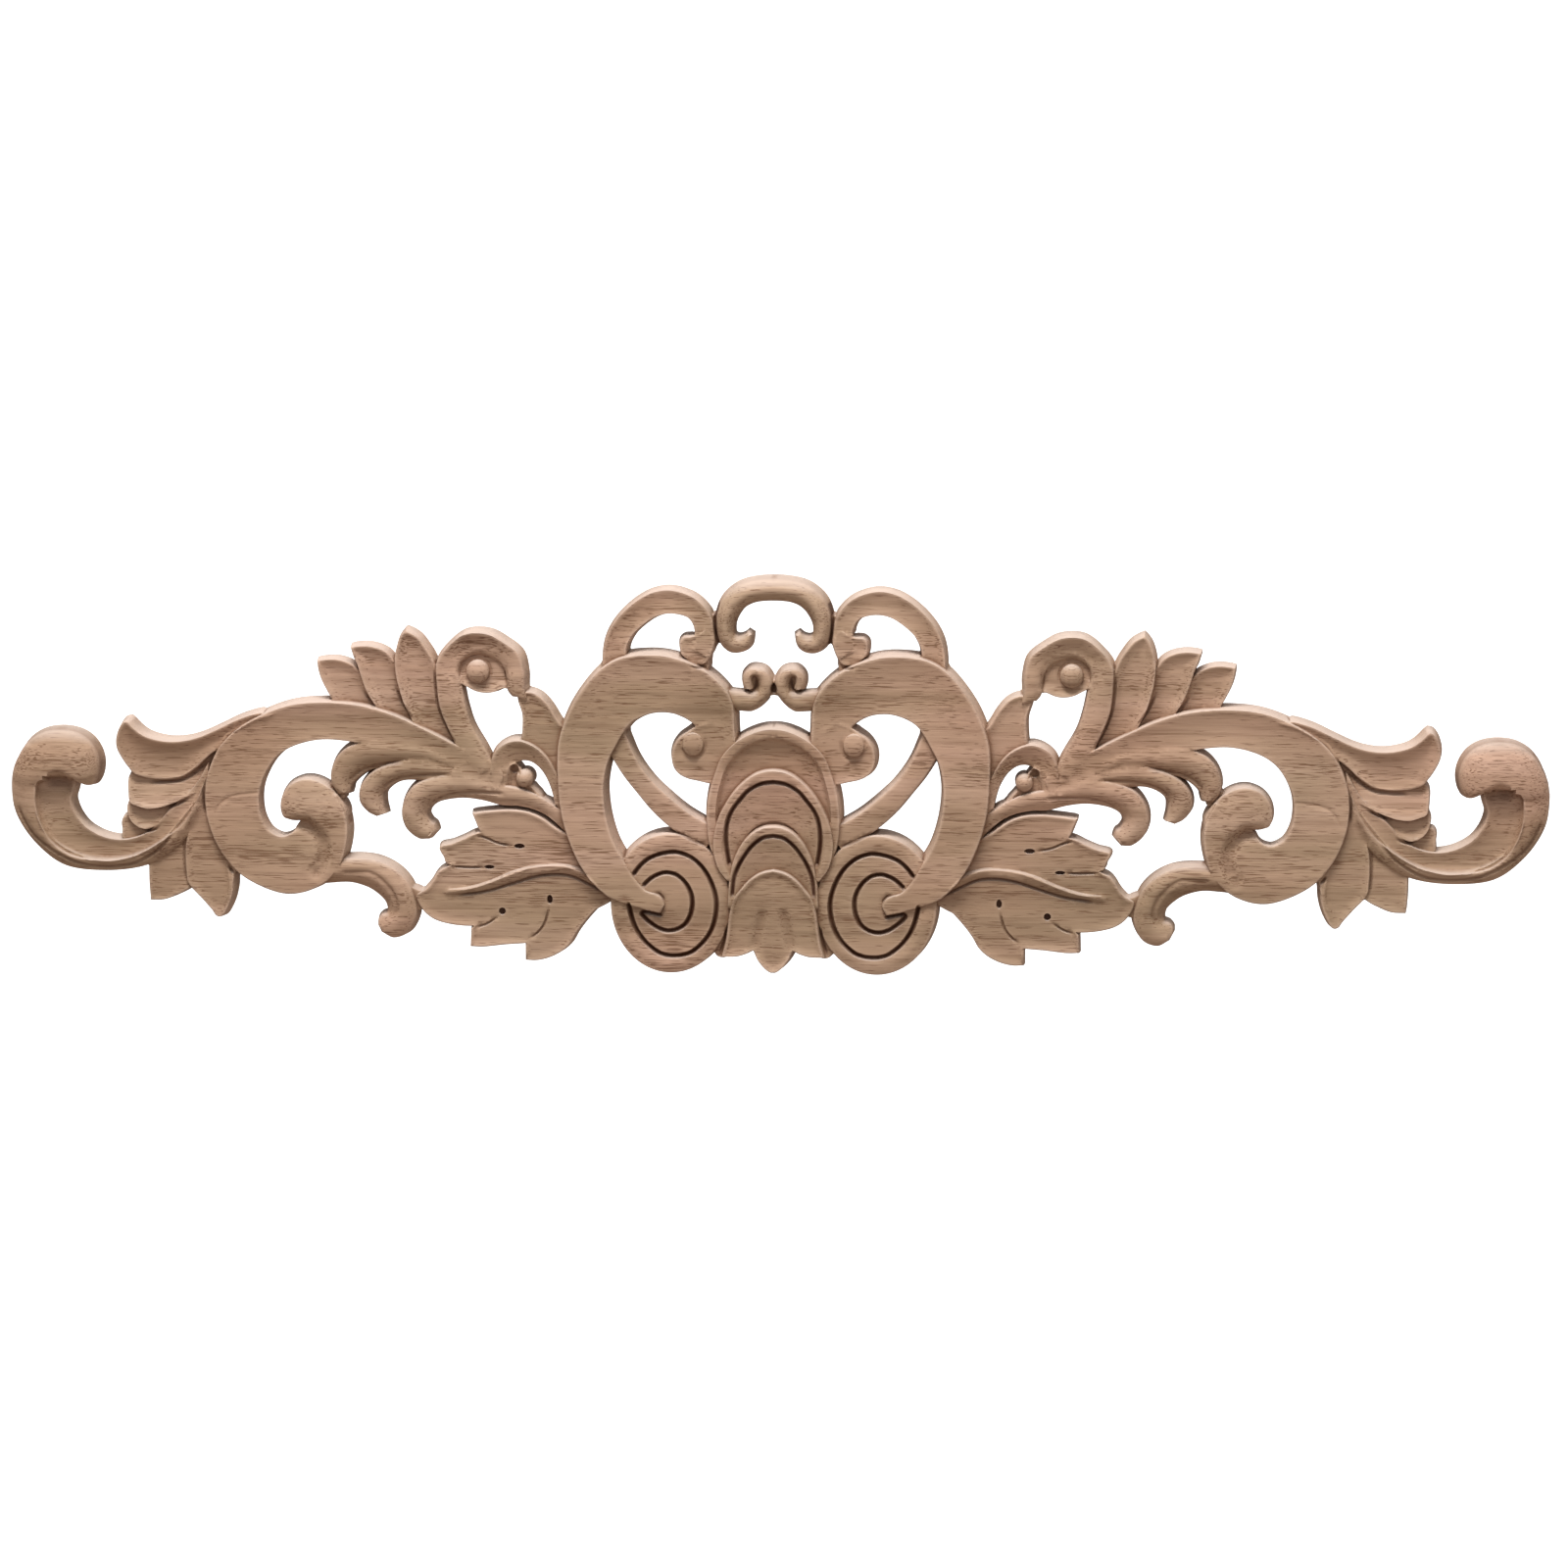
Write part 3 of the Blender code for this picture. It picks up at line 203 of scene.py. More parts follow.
        (-5.7, 0.8, -11.5, 12.3), (-2.9, 2, -5.7, 15.4), (0, 2.4, 0, 16.4),
        (2.9, 2, 5.7, 15.4)],
        {0: (9.0, 9.6, 10.6), 4: (8.6, 9.4, 11.6), 9: (8.6, 9.4, 12.2)}),
    "scallop_2": ([
        (-12.5, -34, -15, -33), (-12.5, -30, -18, -28.5), (-11.6, -25.6, -19.3, -21.6),
        (-10, -21.8, -18.1, -14.4), (-8, -18.4, -15.3, -8.4),
        (-5.6, -15.9, -11.4, -2.9), (-2.8, -14.5, -5.9, 1.6), (0, -14, 0, 3.0),
        (2.8, -14.5, 5.9, 1.6)],
        {0: (9.6, 10.8, 11.6), 4: (9.4, 10.8, 12.6), 8: (9.2, 10.8, 12.8)}),
    "scallop_3": ([
        (-12, -43, -14.6, -42), (-11.3, -38.6, -14.1, -34.1), (-9.4, -35.3, -12.8, -27.1),
        (-7.3, -33.3, -10.3, -21.7), (-4.7, -31.5, -7, -17.9),
        (-2.4, -30.8, -3.5, -15.8), (0, -30.6, 0, -15.3),
        (2.4, -30.8, 3.5, -15.8)],
        {0: (10.2, 11.2, 11.8), 4: (9.8, 11.2, 12.8), 7: (9.8, 11.2, 13.0)}),
    "maple_rib": ([
        (-106, -39.6, -106, -37.6), (-98, -38.8, -98.6, -36.6),
        (-90, -36.8, -91, -34.2), (-82, -34.2, -83.4, -30.8),
        (-74, -32.4, -74.4, -29.2), (-66, -32.4, -65.4, -29.2),
        (-60, -35, -58, -32), (-54, -38.4, -52, -36)],
        {0: (7.2, 7.6, 7.4), 3: (7.5, 8.6, 7.9), 7: (7.7, 9.0, 8.2)}),
}

# --------------------------------------------------- plates (outline corners)
# name: (outline, height, slope along x, slope along z); a third value of 1
# marks a sharp corner
PLATES = {
    "crest_leaf": ([
        (-208.8, 17.0, 1), (-206.1, 14.2), (-203.3, 12.2), (-199.5, 10.9),
        (-195, 10.3), (-190, 10.7), (-185, 12.1), (-179, 14.8), (-173, 17.7),
        (-168.5, 19.3), (-165.0, 19.9), (-163.2, 18.2, 1), (-169.6, 15.0),
        (-175.0, 11.0), (-178.6, 8.2), (-181.5, 6.5), (-184.2, 4.2), (-186.5, 1.9),
        (-189.7, -0.5), (-192.2, -1.7), (-196, -2.3), (-200, -2.3),
        (-204, -1.7), (-207, -0.6), (-209, 1.8), (-210.7, 4.4), (-212.3, 7.8),
        (-212.5, 11), (-211.6, 14.2), (-210.2, 16.4)], 8.8, -0.045, 0.13),
    "lobe_2": ([
        (-208.4, -0.5), (-209.3, -3), (-209.2, -6), (-208.6, -9.8), (-206, -11.1),
        (-203, -11.9), (-199, -11.5), (-195.5, -10.4), (-192, -9),
        (-187, -6.5, 1), (-181.5, 0), (-177.5, 8), (-186, 6.5), (-195, 2.6),
        (-204, 2)], 7.5, 0.01, -0.24),
    "lobe_3": ([
        (-209.2, -9.5), (-209.9, -12), (-209.2, -15), (-207.5, -17.2),
        (-204.5, -18.7), (-201.5, -18.2), (-198, -16.2), (-193.5, -13, 1),
        (-190, -8, 1), (-200, -7), (-207, -8)], 7.0, 0.0, -0.26),
    "lobe_4": ([
        (-210.6, -14.6), (-211.8, -16.5), (-211.6, -19), (-211.2, -22.6),
        (-206, -23.5), (-200.6, -20.5), (-198, -14), (-206, -13)],
        6.4, 0.0, -0.10),
    "tail_leaf_inner": ([
        (-182, -3, 1), (-186, -12), (-189.4, -19), (-190.8, -25), (-190.9, -30),
        (-190.5, -35), (-189.3, -37.5), (-186, -41), (-182.5, -45),
        (-181.2, -46.9), (-179.7, -47.4), (-178.3, -46.3), (-176.4, -42.4),
        (-175.3, -38), (-174.9, -33.5), (-173, -28), (-172, -20), (-176, -10),
        (-180, -4)], 8.4, 0.02, 0.0),
    "tail_leaf_outer": ([
        (-202.9, -27.5, 1), (-202.9, -36), (-202.5, -42.2, 1), (-198, -42),
        (-194, -40.5), (-190, -38.3), (-187, -35), (-186, -27), (-186.5, -18, 1),
        (-192, -18.5), (-197.5, -24)], 7.5, 0.0, 0.0),
    "feather_1": ([
        (-118.3, 47.2, 1), (-114.7, 45.1), (-111.9, 41.6), (-109.7, 37.8),
        (-108.2, 33), (-106.7, 27), (-104, 19), (-99, 8, 1), (-112, 10),
        (-117, 18.5), (-118.9, 22.5), (-120.3, 27), (-121.5, 32),
        (-121.9, 37), (-121.4, 41), (-120.2, 44.6)], 8.2, -0.07, 0.03),
    "feather_2": ([
        (-136.2, 41.6, 1), (-132.2, 42), (-128.2, 41.5), (-124.6, 39.8),
        (-121.9, 36.4), (-119, 31), (-116, 22), (-116, 13, 1), (-125, 15),
        (-128.4, 22), (-130.2, 25), (-131.9, 28.5), (-133.2, 32.5), (-134.2, 36),
        (-135.2, 38.2)], 7.4, -0.07, 0.04),
    "feather_3": ([
        (-147.2, 37, 1), (-142.6, 37.5), (-138.6, 36.9), (-134.8, 34.8),
        (-131.8, 30), (-128, 23), (-128, 16, 1), (-139.5, 18), (-142.5, 24),
        (-144.1, 27), (-145.8, 30.5), (-146.8, 33.8)], 6.7, -0.07, 0.04),
    "horn_dish": ([
        (-101.1, 30.3), (-98.6, 28.8), (-96.1, 27.5), (-93.1, 26.9), (-90.1, 27.2),
        (-87.2, 28.4), (-84, 29), (-83.8, 36), (-88.2, 40.6), (-95.1, 41.6),
        (-101.1, 39), (-103.3, 34)], 7.9, 0.0, -0.03),
    "curl_dish": ([
        (-88, -4), (-87, 0), (-85.4, 3.2), (-83.6, 4.2), (-82.2, 2.8),
        (-80, 0), (-78.2, -3), (-75.6, -6), (-71, -10.6), (-66, -15),
        (-68, -16.8), (-78, -9.6), (-86, -8)], 7.9, 0.0, 0.0),
    "cleft_leaf": ([
        (-82.3, 25.4), (-79.9, 27.3), (-77.5, 27.1), (-74.8, 25.6), (-72.1, 22.5),
        (-69.8, 18.7), (-66.2, 12.8), (-64, 4), (-68, -2), (-75, 4), (-81.2, 8),
        (-81.0, 14), (-80.9, 20)], 8.2, 0.0, 0.02),
    "heart_terminal": ([
        (-24, 17.2), (-27.6, 14.9), (-30.2, 12.9), (-32.1, 10), (-32.7, 6.8),
        (-32.1, 3.6), (-30.5, 1.4), (-28.1, 0.0), (-25, -0.8), (-18, -1.8),
        (-14.5, 2), (-14.5, 12), (-18, 18)], 9.8, 0.0, 0.02),
    "arch_foot": ([
        (-24, 46.6), (-26.6, 45.8), (-28.6, 45.6), (-29.9, 44.4),
        (-30.1, 42.3), (-29.5, 40), (-27, 37.8), (-24.5, 36.9), (-22.2, 37),
        (-20, 40), (-19, 44), (-21, 48)], 8.6, 0.0, 0.0),
    "tulip": ([
        (2, -29.6, 1), (0, -29.6), (-4, -30.6), (-7.5, -32.9), (-10.3, -36),
        (-12.8, -39.4), (-14, -44.4), (-14.7, -50.4), (-15.5, -54.9),
        (-16.5, -58.1, 1), (-12, -58), (-9, -57.2), (-6.4, -56.1, 1),
        (-5, -59), (-3, -61.6), (-1.2, -63), (0, -63.2), (2, -62.7, 1)],
        12.5, 0.0, 0.01),
    "shell_ground": ([
        (2, 9, 1), (-12, 7), (-18, -4), (-19.5, -18), (-16, -30), (-14.8, -42),
        (-16, -56, 1), (2, -56, 1)], 8.3, 0.0, 0.0),
    "maple_lobe_1": ([
        (-97.3, -12.5, 1), (-92, -11.8), (-86, -11.3), (-80, -11.8),
        (-75, -13.8), (-70, -17.3), (-65, -20), (-56, -24), (-56, -34, 1),
        (-75, -27), (-86, -23.5), (-90.3, -22), (-94.5, -18.8),
        (-96.3, -15)], 8.3, 0.0, 0.03),
    "maple_lobe_2": ([
        (-108, -23.7), (-104, -22.5), (-100, -20.8), (-95.5, -18.8), (-85, -17),
        (-75, -20), (-56, -30), (-66, -31.6), (-90, -30.4), (-104.3, -29.7),
        (-106.8, -26.8)], 7.7, 0.0, 0.02),
    "maple_body": ([
        (-115.8, -39.8), (-113, -38), (-110.8, -35.5), (-109, -32.6),
        (-106.5, -30.6), (-100, -28.5), (-80, -26.5), (-60, -26), (-51, -37.6),
        (-58, -44), (-75, -49.4), (-90, -49.6), (-97, -49.8), (-103, -49.5),
        (-108.5, -48.3), (-112, -46.4), (-114.6, -43.4)], 7.3, 0.005, 0.0),
    "maple_lobe_4": ([
        (-98.1, -50.6, 1), (-98.4, -56.5, 1), (-94, -56.6), (-87, -55.8),
        (-80, -55.2), (-73, -54), (-73, -43), (-88, -43), (-95.6, -48.4)],
        6.5, 0.0, 0.0),
    "maple_lobe_5": ([
        (-80.5, -54.2, 1), (-80.5, -60.8, 1), (-77, -60.9), (-73, -60),
        (-69, -58), (-66, -55.2), (-64, -51.7), (-61.3, -48), (-57.5, -43.7),
        (-52.6, -39.2), (-56, -34), (-70, -38), (-73, -45), (-75.5, -50)],
        7.0, 0.0, 0.0),
    "joint_hook_maple": ([
        (-119, -37.3), (-114.4, -38.4), (-110, -39.2), (-112.6, -43.9),
        (-118.4, -44.6)], 6.5, 0.0, 0.0),
    "joint_ring_arch": ([
        (-20.6, 51.6), (-18.4, 52.6), (-16, 50), (-16.6, 44.2), (-18, 43.6),
        (-21, 44)], 6.6, 0.0, 0.0),
    "joint_arch_heart": ([
        (-28, 40), (-21.4, 40), (-21.8, 33), (-28, 33)], 7.4, 0.0, 0.0),
    "joint_stems": ([
        (-103, 2), (-99, 4.6), (-94.2, 5.4), (-90.4, 4.4), (-87, 0), (-90, -4.6),
        (-97, -3.8), (-103, -1)], 9.0, 0.0, 0.0),
    "curl_floor": ([
        (-8.4, 28.8), (-6, 27.8), (-4, 29.4), (-4.4, 32.6), (-6.4, 34),
        (-8.2, 32.4)], 6.6, 0.0, 0.0),
    "joint_finger_scroll": ([
        (-143.6, -3.6), (-140, -4.4), (-139, -8), (-142.5, -9)],
        6.0, 0.0, 0.0),
    "joint_disc_tulip": ([
        (-21, -50), (-15, -48), (-14, -57.5), (-18.5, -58.2)],
        8.6, 0.0, 0.0),
    "joint_curls": ([
        (2, 31.4, 1), (-2.5, 31.8), (-3.5, 29), (-2.5, 26.6), (2, 27.2, 1)],
        6.4, 0.0, 0.0),
}

# ------------------------------- domes: x, z, half sizes x, z, top, fall to edge
DOMES = {
    "horn_eye": (-95.2, 33.9, 3.7, 3.8, 10.4, 2.8),
    "curl_eye": (-80.3, -0.9, 2.8, 2.9, 10.4, 3.2),
    "heart_eye": (-25.8, 11.1, 3.4, 3.8, 11.5, 1.3),
}

# ------------------------------------------- round ends of the two big scrolls
BALLS = {
    "volute_ball": ([
        (-226, -2.9), (-224.4, -3.9), (-222.4, -4.6), (-220.4, -4.1),
        (-218.9, -1.5), (-218.3, 2.5), (-219.2, 6.6), (-221.7, 10.4),
        (-225.6, 12.8), (-230.5, 13.7), (-236, 13.1), (-240.7, 10.6),
        (-244.2, 6.4), (-246.4, 1), (-246.9, -3), (-243, -6), (-239.5, -5.2),
        (-237.5, -3.2), (-234, -1.9), (-230, -1.7)], 6.6, 12.8),
    "scroll_ball": ([
        (-154.8, -15.6), (-157.1, -15), (-158.8, -14), (-159.6, -11),
        (-159, -7.4), (-157.2, -4.5), (-154.8, -2.7), (-151.5, -1.7),
        (-148, -2.1), (-144.7, -3.7), (-141.4, -6.4), (-138.9, -10),
        (-137.9, -13.5), (-138.4, -17), (-140.6, -20.6), (-143.8, -22.6),
        (-146.6, -21.8), (-148.2, -19.4), (-149.9, -16.8), (-152, -15.4)],
        8.2, 10.6),
}

# --------------------------------------------------------------- scroll disc
DISC = (-33.2, -41.1, 19.3, 22.8, 10.0)   # centre x, z, half sizes x, z, height

# ------------------------------------------- how the plates are hollowed: depth
# of the hollow in from the edge, and how far in it takes to get there
SCOOP = {
    "crest_leaf": (1.5, 5.0), "lobe_2": (0.8, 3.0), "lobe_3": (0.7, 2.6),
    "lobe_4": (0.6, 2.4), "tail_leaf_inner": (0.8, 3.0), "tail_leaf_outer": (0.6, 3.0),
    "feather_1": (1.4, 4.2), "feather_2": (1.3, 4.0), "feather_3": (1.2, 3.8),
    "cleft_leaf": (0.8, 3.0), "heart_terminal": (0.4, 2.0), "arch_foot": (0.4, 1.6),
    "maple": (0.6, 2.4), "tulip": (0.9, 2.2), "curl_dish": (1.6, 2.6),
    "horn_dish": (1.3, 3.6),
}
# bands with a flat rim along their outer edge, and its width
RIM = {"scallop_1": 3.2, "scallop_2": 3.3, "scallop_3": 3.1}
# plates carved as one surface: (its height, slope along x, slope along z)
MAPLE = ("maple_lobe_1", "maple_lobe_2", "maple_body", "maple_lobe_4", "maple_lobe_5")
MAPLE_TOP = (7.7, 0.004, 0.03)
# pieces that flow into each other: (how deep the flow is, names)
FLOWS = [
    (1.2, ("branch", "scroll_ball")),
    (1.6, ("volute_channel", "volute_band", "volute_ball")),
    (2.4, ("horn", "horn_dish")),
    (2.0, ("small_curl", "curl_dish")),
    (1.0, ("heart_scroll", "heart_terminal")),
    (1.4, ("side_arch", "arch_foot")),
    (1.4, ("finger_1", "finger_2", "finger_3", "joint_stems")),
    (1.0, ("centre_curl", "curl_floor", "joint_curls")),
]

# ------------------------------------------------- lines cut into the carving
# (half width, depth, darkness, points); the darkness is scorched colour in the burnt grooves and
# painted shade in the soft, wide cuts
CUTS = [
    # volute
    (0.8, 0.7, 0.30, [(-245, -11), (-243.6, -15), (-240.6, -20), (-236, -24.2),
                      (-230, -27.9), (-224.5, -30), (-217, -31), (-208, -30),
                      (-200, -25.6), (-194, -19.6)]),
    (2.6, 0.8, 0.40, [(-237, -3.4), (-234, -3.6), (-230, -3.9), (-226, -5.2)]),
    # leaves beside it
    (0.8, 0.9, 0.50, [(-184, -2), (-184.4, -8), (-184, -14)]),
    (0.9, 0.7, 0.45, [(-203, -3.2), (-197, -3.2), (-191.6, -2.4), (-187, 0.4),
                      (-183, 4.2)]),
    (0.7, 0.8, 0.70, [(-198, -12.2), (-194.6, -11), (-191.6, -9.6), (-189, -8)]),
    (0.7, 0.8, 0.65, [(-206, -18.4), (-203.4, -19.4), (-201, -18.9), (-198.6, -17.4)]),
    (2.0, 0.6, 0.12, [(-186.6, -12), (-188.2, -16), (-190, -21)]),
    (0.8, 0.5, 0.28, [(-191, -21), (-191.3, -28), (-190.8, -36)]),
    (0.7, 0.9, 0.60, [(-177.4, -30), (-176, -31.8), (-174.4, -33.2)]),
    # main scroll
    (3.2, 1.2, 0.12, [(-157.6, -17.4), (-154.2, -16.4), (-150.8, -16.8), (-147.8, -19),
                      (-146, -22.4), (-145.5, -26), (-146.8, -30), (-150.4, -33.8)]),
    (0.7, 0.25, 0.05, [(-181, -14), (-179.4, -10.4), (-175, -7.4), (-165, -6)]),
    # feathers
    (0.7, 0.8, 0.35, [(-122.4, 29), (-119.4, 22.6), (-115.5, 17)]),
    (0.7, 0.7, 0.35, [(-133, 28), (-130.6, 24), (-128.4, 21)]),
    (0.7, 0.8, 0.35, [(-109.1, 35), (-108.8, 28), (-107.8, 21.5), (-104.8, 14.3),
                      (-102, 10)]),
    # horn and small curl
    (1.6, 0.5, 0.12, [(-101.1, 31), (-100.5, 35), (-98.5, 38), (-95.3, 39.2),
                      (-91.7, 38.6)]),
    (0.6, 0.4, 0.15, [(-91.2, 31.2), (-91.0, 34), (-92.0, 36.8), (-94.6, 38.2)]),
    (1.0, 0.5, 0.15, [(-85.8, 28.6), (-85.9, 32.5), (-86.2, 36.4)]),
    # fingers
    (0.8, 0.6, 0.25, [(-110.5, -9), (-106, -6.7), (-100, -5.5), (-93, -5.4),
                      (-86, -6)]),
    (0.8, 0.6, 0.25, [(-127, -5.4), (-125, -3.2), (-121.6, -1.4), (-115, 0),
                      (-104, 0.5)]),
    (0.8, 0.6, 0.25, [(-137.6, -2.8), (-135.4, -0.2), (-132.6, 1.7), (-128, 3.1),
                      (-119, 4.6)]),
    # lower hook
    (1.0, 0.5, 0.16, [(-141, -32.2), (-134, -31.9), (-130, -32.2), (-126.5, -34.6),
                      (-123.5, -38), (-122, -41.5), (-122, -44.5), (-124, -47.2)]),
    # maple leaf
    (0.7, 0.8, 0.50, [(-103, -39.6), (-94, -38.4), (-86, -36.0), (-78, -33.4),
                      (-72, -32.4), (-66, -32.8), (-60, -35.3), (-54, -38.4)]),
    (0.6, 0.8, 0.45, [(-96.8, -19.3), (-93, -20.6), (-89, -22.3), (-84, -23.2)]),
    (0.6, 0.8, 0.50, [(-105, -30.1), (-98, -30.4), (-93, -30.2)]),
    (0.6, 0.7, 0.40, [(-79.6, -54), (-76.4, -51.6), (-74.2, -48.5), (-72.7, -43)]),
    (0.6, 0.7, 0.40, [(-97.4, -50.4), (-93, -49.0), (-89, -46.2)]),
    # crest ring, side arch and the joint below them
    (0.8, 1.0, 0.80, [(-17.8, 43.6), (-18.6, 47), (-18.8, 52), (-17.8, 56.4)]),
    (0.7, 0.6, 0.60, [(-27, 36.8), (-24.4, 36.1), (-21, 36.4)]),
    # heart scroll's inner eye
    (0.9, 0.35, 0.14, [(-28.7, 8.3), (-27.5, 7.1), (-25.8, 6.7), (-24.0, 7.1),
                       (-22.5, 8.5), (-21.8, 10.9), (-22.0, 13.4)]),
    # centre curls
    (0.7, 0.9, 0.60, [(-8.6, 27.9), (-6.6, 28.6), (-5.7, 30.4), (-5.9, 32.4),
                      (-6.8, 33.2)]),
    # spiral on the disc
    (0.95, 1.6, 1.00, [(-44.9, -31.4), (-43, -28.9), (-40.7, -26.8), (-38.4, -25.6),
                      (-36, -24.8), (-33.2, -24.3), (-30.4, -24.4), (-26.4, -26),
                      (-22.6, -29.5), (-19.8, -34.6), (-18.3, -40.6), (-19.1, -47.3),
                      (-21.6, -52.5), (-25.5, -56.4), (-28.7, -57.9), (-32.1, -58.3),
                      (-35, -58), (-37.8, -56.8), (-41.9, -53.2), (-45, -48.1),
                      (-46.7, -41.5)]),
    (0.95, 1.6, 1.00, [(-41.7, -35.1), (-39.5, -33), (-37, -31.6), (-34.4, -31),
                      (-31.2, -31.8), (-28.4, -34.3), (-26.6, -37.7), (-26.1, -41.1),
                      (-26.7, -44.7), (-28.3, -47.7), (-30.9, -49.5), (-34, -50.1),
                      (-37, -49.3), (-39.5, -47.7), (-41.5, -45.9), (-42.4, -44.3),
                      (-40.4, -44), (-36.6, -44.8)]),
    (0.7, 0.8, 0.45, [(-33, -17), (-30, -18.3), (-25, -20.8), (-20.6, -22.4)]),
    (0.6, 0.6, 0.55, [(-38.9, -37.6), (-36.8, -37.9), (-35.4, -39.4), (-35.4, -41.2)]),
    (0.6, 0.8, 0.50, [(-15.2, -48), (-15.6, -52), (-16.6, -55.4), (-17.6, -58.6)]),
    # shell
    (0.95, 1.2, 1.00, [(0.6, -0.7), (-4, -1.4), (-7.9, -3.6), (-10.8, -6.9),
                      (-13.2, -10.3), (-14.7, -14.1), (-15.2, -19), (-14.9, -23.4),
                      (-14.2, -27.6)]),
    (0.95, 1.2, 1.00, [(0.6, -18.2), (-3.4, -19), (-6.8, -21.7), (-9.3, -25.1),
                      (-11.3, -28.7), (-12.6, -32.7), (-13.1, -37.6)]),
    # flutes of the tulip
    (2.2, 0.8, 0.11, [(-6.9, -60.4), (-6.1, -56.4), (-5.2, -52), (-4.1, -47), (-3, -41.6)]),
]
# lines that stand proud: (half width, height, points)
RIDGES = [
    (0.8, 0.5, [(-104, -38.1), (-98, -37.2), (-92, -35.3), (-86, -32.8),
                (-80, -30.6), (-74, -29.5), (-68, -29.5), (-64, -30.5), (-60, -32.7),
                (-56.5, -35.6)]),
    (0.8, 0.4, [(-180, 7), (-177, 12), (-172, 15.3), (-166, 18.2), (-160, 19.8)]),
    (0.8, 0.4, [(-177.4, -28.6), (-176.4, -37.6), (-179, -43.8)]),
    (0.8, 0.6, [(-238.6, -4), (-238.8, -9), (-238, -15.2), (-233.9, -22.2),
                (-226, -27.2), (-216.4, -29), (-207.6, -27.3), (-198.6, -22.6),
                (-191.6, -14.9), (-186.3, -7.8), (-184.2, -3.2)]),
]
# pits: x, z, half sizes x, z, depth, darkness; the darkness is scorched colour in the maple leaf's
# pits and painted shade in the pits among the curls
PITS = [
    (-83.6, 2.2, 1.7, 1.7, 0.9, 0.35), (-82.2, -23.2, 1.8, 0.9, 1.6, 0.95),
    (-92.0, -30.2, 1.7, 0.7, 1.6, 0.95), (-88.0, -44.8, 1.2, 1.3, 1.6, 0.95),
    (-72.5, -40.7, 0.95, 1.6, 1.6, 0.95),
    (0.0, 29.0, 1.2, 1.8, 1.4, 0.7),
]

# --------------------------------------------------------------- point helpers
def catmull(points, per):
    """Smooth run through the points, 'per' steps a span, open ends."""
    p = np.asarray(points, float)
    if len(p) < 3:
        return p
    ext = np.vstack([2 * p[0] - p[1], p, 2 * p[-1] - p[-2]])
    out = []
    for i in range(len(p) - 1):
        a, b, c, d = ext[i:i + 4]
        for k in range(per):
            t = k / per
            out.append(0.5 * ((2 * b) + (c - a) * t + (2 * a - 5 * b + 4 * c - d) * t * t
                              + (3 * b - a - 3 * c + d) * t ** 3))
    out.append(p[-1])
    return np.array(out)


def outline(corners, per=8):
    """Closed smooth outline through the corners; sharp where marked."""
    n = len(corners)
    sharp = [i for i, c in enumerate(corners) if len(c) > 2 and c[2]]
    pts = [c[:2] for c in corners]
    if not sharp:
        ext = [pts[-2], pts[-1]] + pts + [pts[0], pts[1], pts[2]]
        return catmull(ext, per)[2 * per:2 * per + per * n]
    out = []
    for j, s in enumerate(sharp):
        e = sharp[(j + 1) % len(sharp)]
        count = (e - s) % n or n
        out += list(catmull([pts[(s + k) % n] for k in range(count + 1)], per)[:-1])
    return np.array(out)


def thin(p, tol, most):
    """The points that keep the run within tol, none further apart than most."""
    keep = {0, len(p) - 1}
    stack = [(0, len(p) - 1)]
    while stack:
        a, b = stack.pop()
        if b - a < 2:
            continue
        seg = p[b] - p[a]
        length = np.linalg.norm(seg)
        mid = p[a + 1:b] - p[a]
        if length < 1e-9:
            dist = np.linalg.norm(mid, axis=1)
        else:
            t = np.clip(mid @ seg / length ** 2, 0, 1)
            dist = np.linalg.norm(mid - t[:, None] * seg, axis=1)
        k = int(np.argmax(dist))
        if dist[k] > tol or length > most:
            k = k if dist[k] > tol else (b - a) // 2 - 1
            k = min(max(k, 0), b - a - 2)
            keep.add(a + 1 + k)
            stack += [(a, a + 1 + k), (a + 1 + k, b)]
    return p[sorted(keep)]


def to_line(p, line, closed):
    """Distance from each point to the line, the piece of line it is nearest
    to, and how far along that piece."""
    a = line
    b = np.roll(line, -1, axis=0)
    if not closed:
        a, b = a[:-1], b[:-1]
    ab = b - a
    ll = np.maximum((ab ** 2).sum(1), 1e-12)
    n = len(p)
    dist, index, share = np.empty(n), np.empty(n, int), np.empty(n)
    side = np.empty(n)
    step = max(1, 1500000 // len(a))
    for i in range(0, n, step):
        q = p[i:i + step]
        dx = q[:, 0:1] - a[None, :, 0]
        dz = q[:, 1:2] - a[None, :, 1]
        t = np.clip((dx * ab[:, 0] + dz * ab[:, 1]) / ll, 0, 1)
        ex, ez = dx - t * ab[:, 0], dz - t * ab[:, 1]
        d2 = ex * ex + ez * ez
        k = np.argmin(d2, axis=1)
        row = np.arange(len(q))
        dist[i:i + step] = np.sqrt(d2[row, k])
        index[i:i + step] = k
        share[i:i + step] = t[row, k]
        side[i:i + step] = ab[k, 0] * dz[row, k] - ab[k, 1] * dx[row, k]
    return dist, index, share, side


def inside(p, loop):
    """Which points lie within the closed loop."""
    a, b = loop, np.roll(loop, -1, axis=0)
    rise = b[:, 1] - a[:, 1]
    rise = np.where(np.abs(rise) < 1e-12, 1e-12, rise)
    out = np.empty(len(p), bool)
    step = max(1, 2000000 // len(a))
    for i in range(0, len(p), step):
        x, z = p[i:i + step, 0:1], p[i:i + step, 1:2]
        over = (a[:, 1] > z) != (b[:, 1] > z)
        left = x < (b[:, 0] - a[:, 0]) * (z - a[:, 1]) / rise + a[:, 0]
        out[i:i + step] = (np.sum(over & left, axis=1) % 2) == 1
    return out


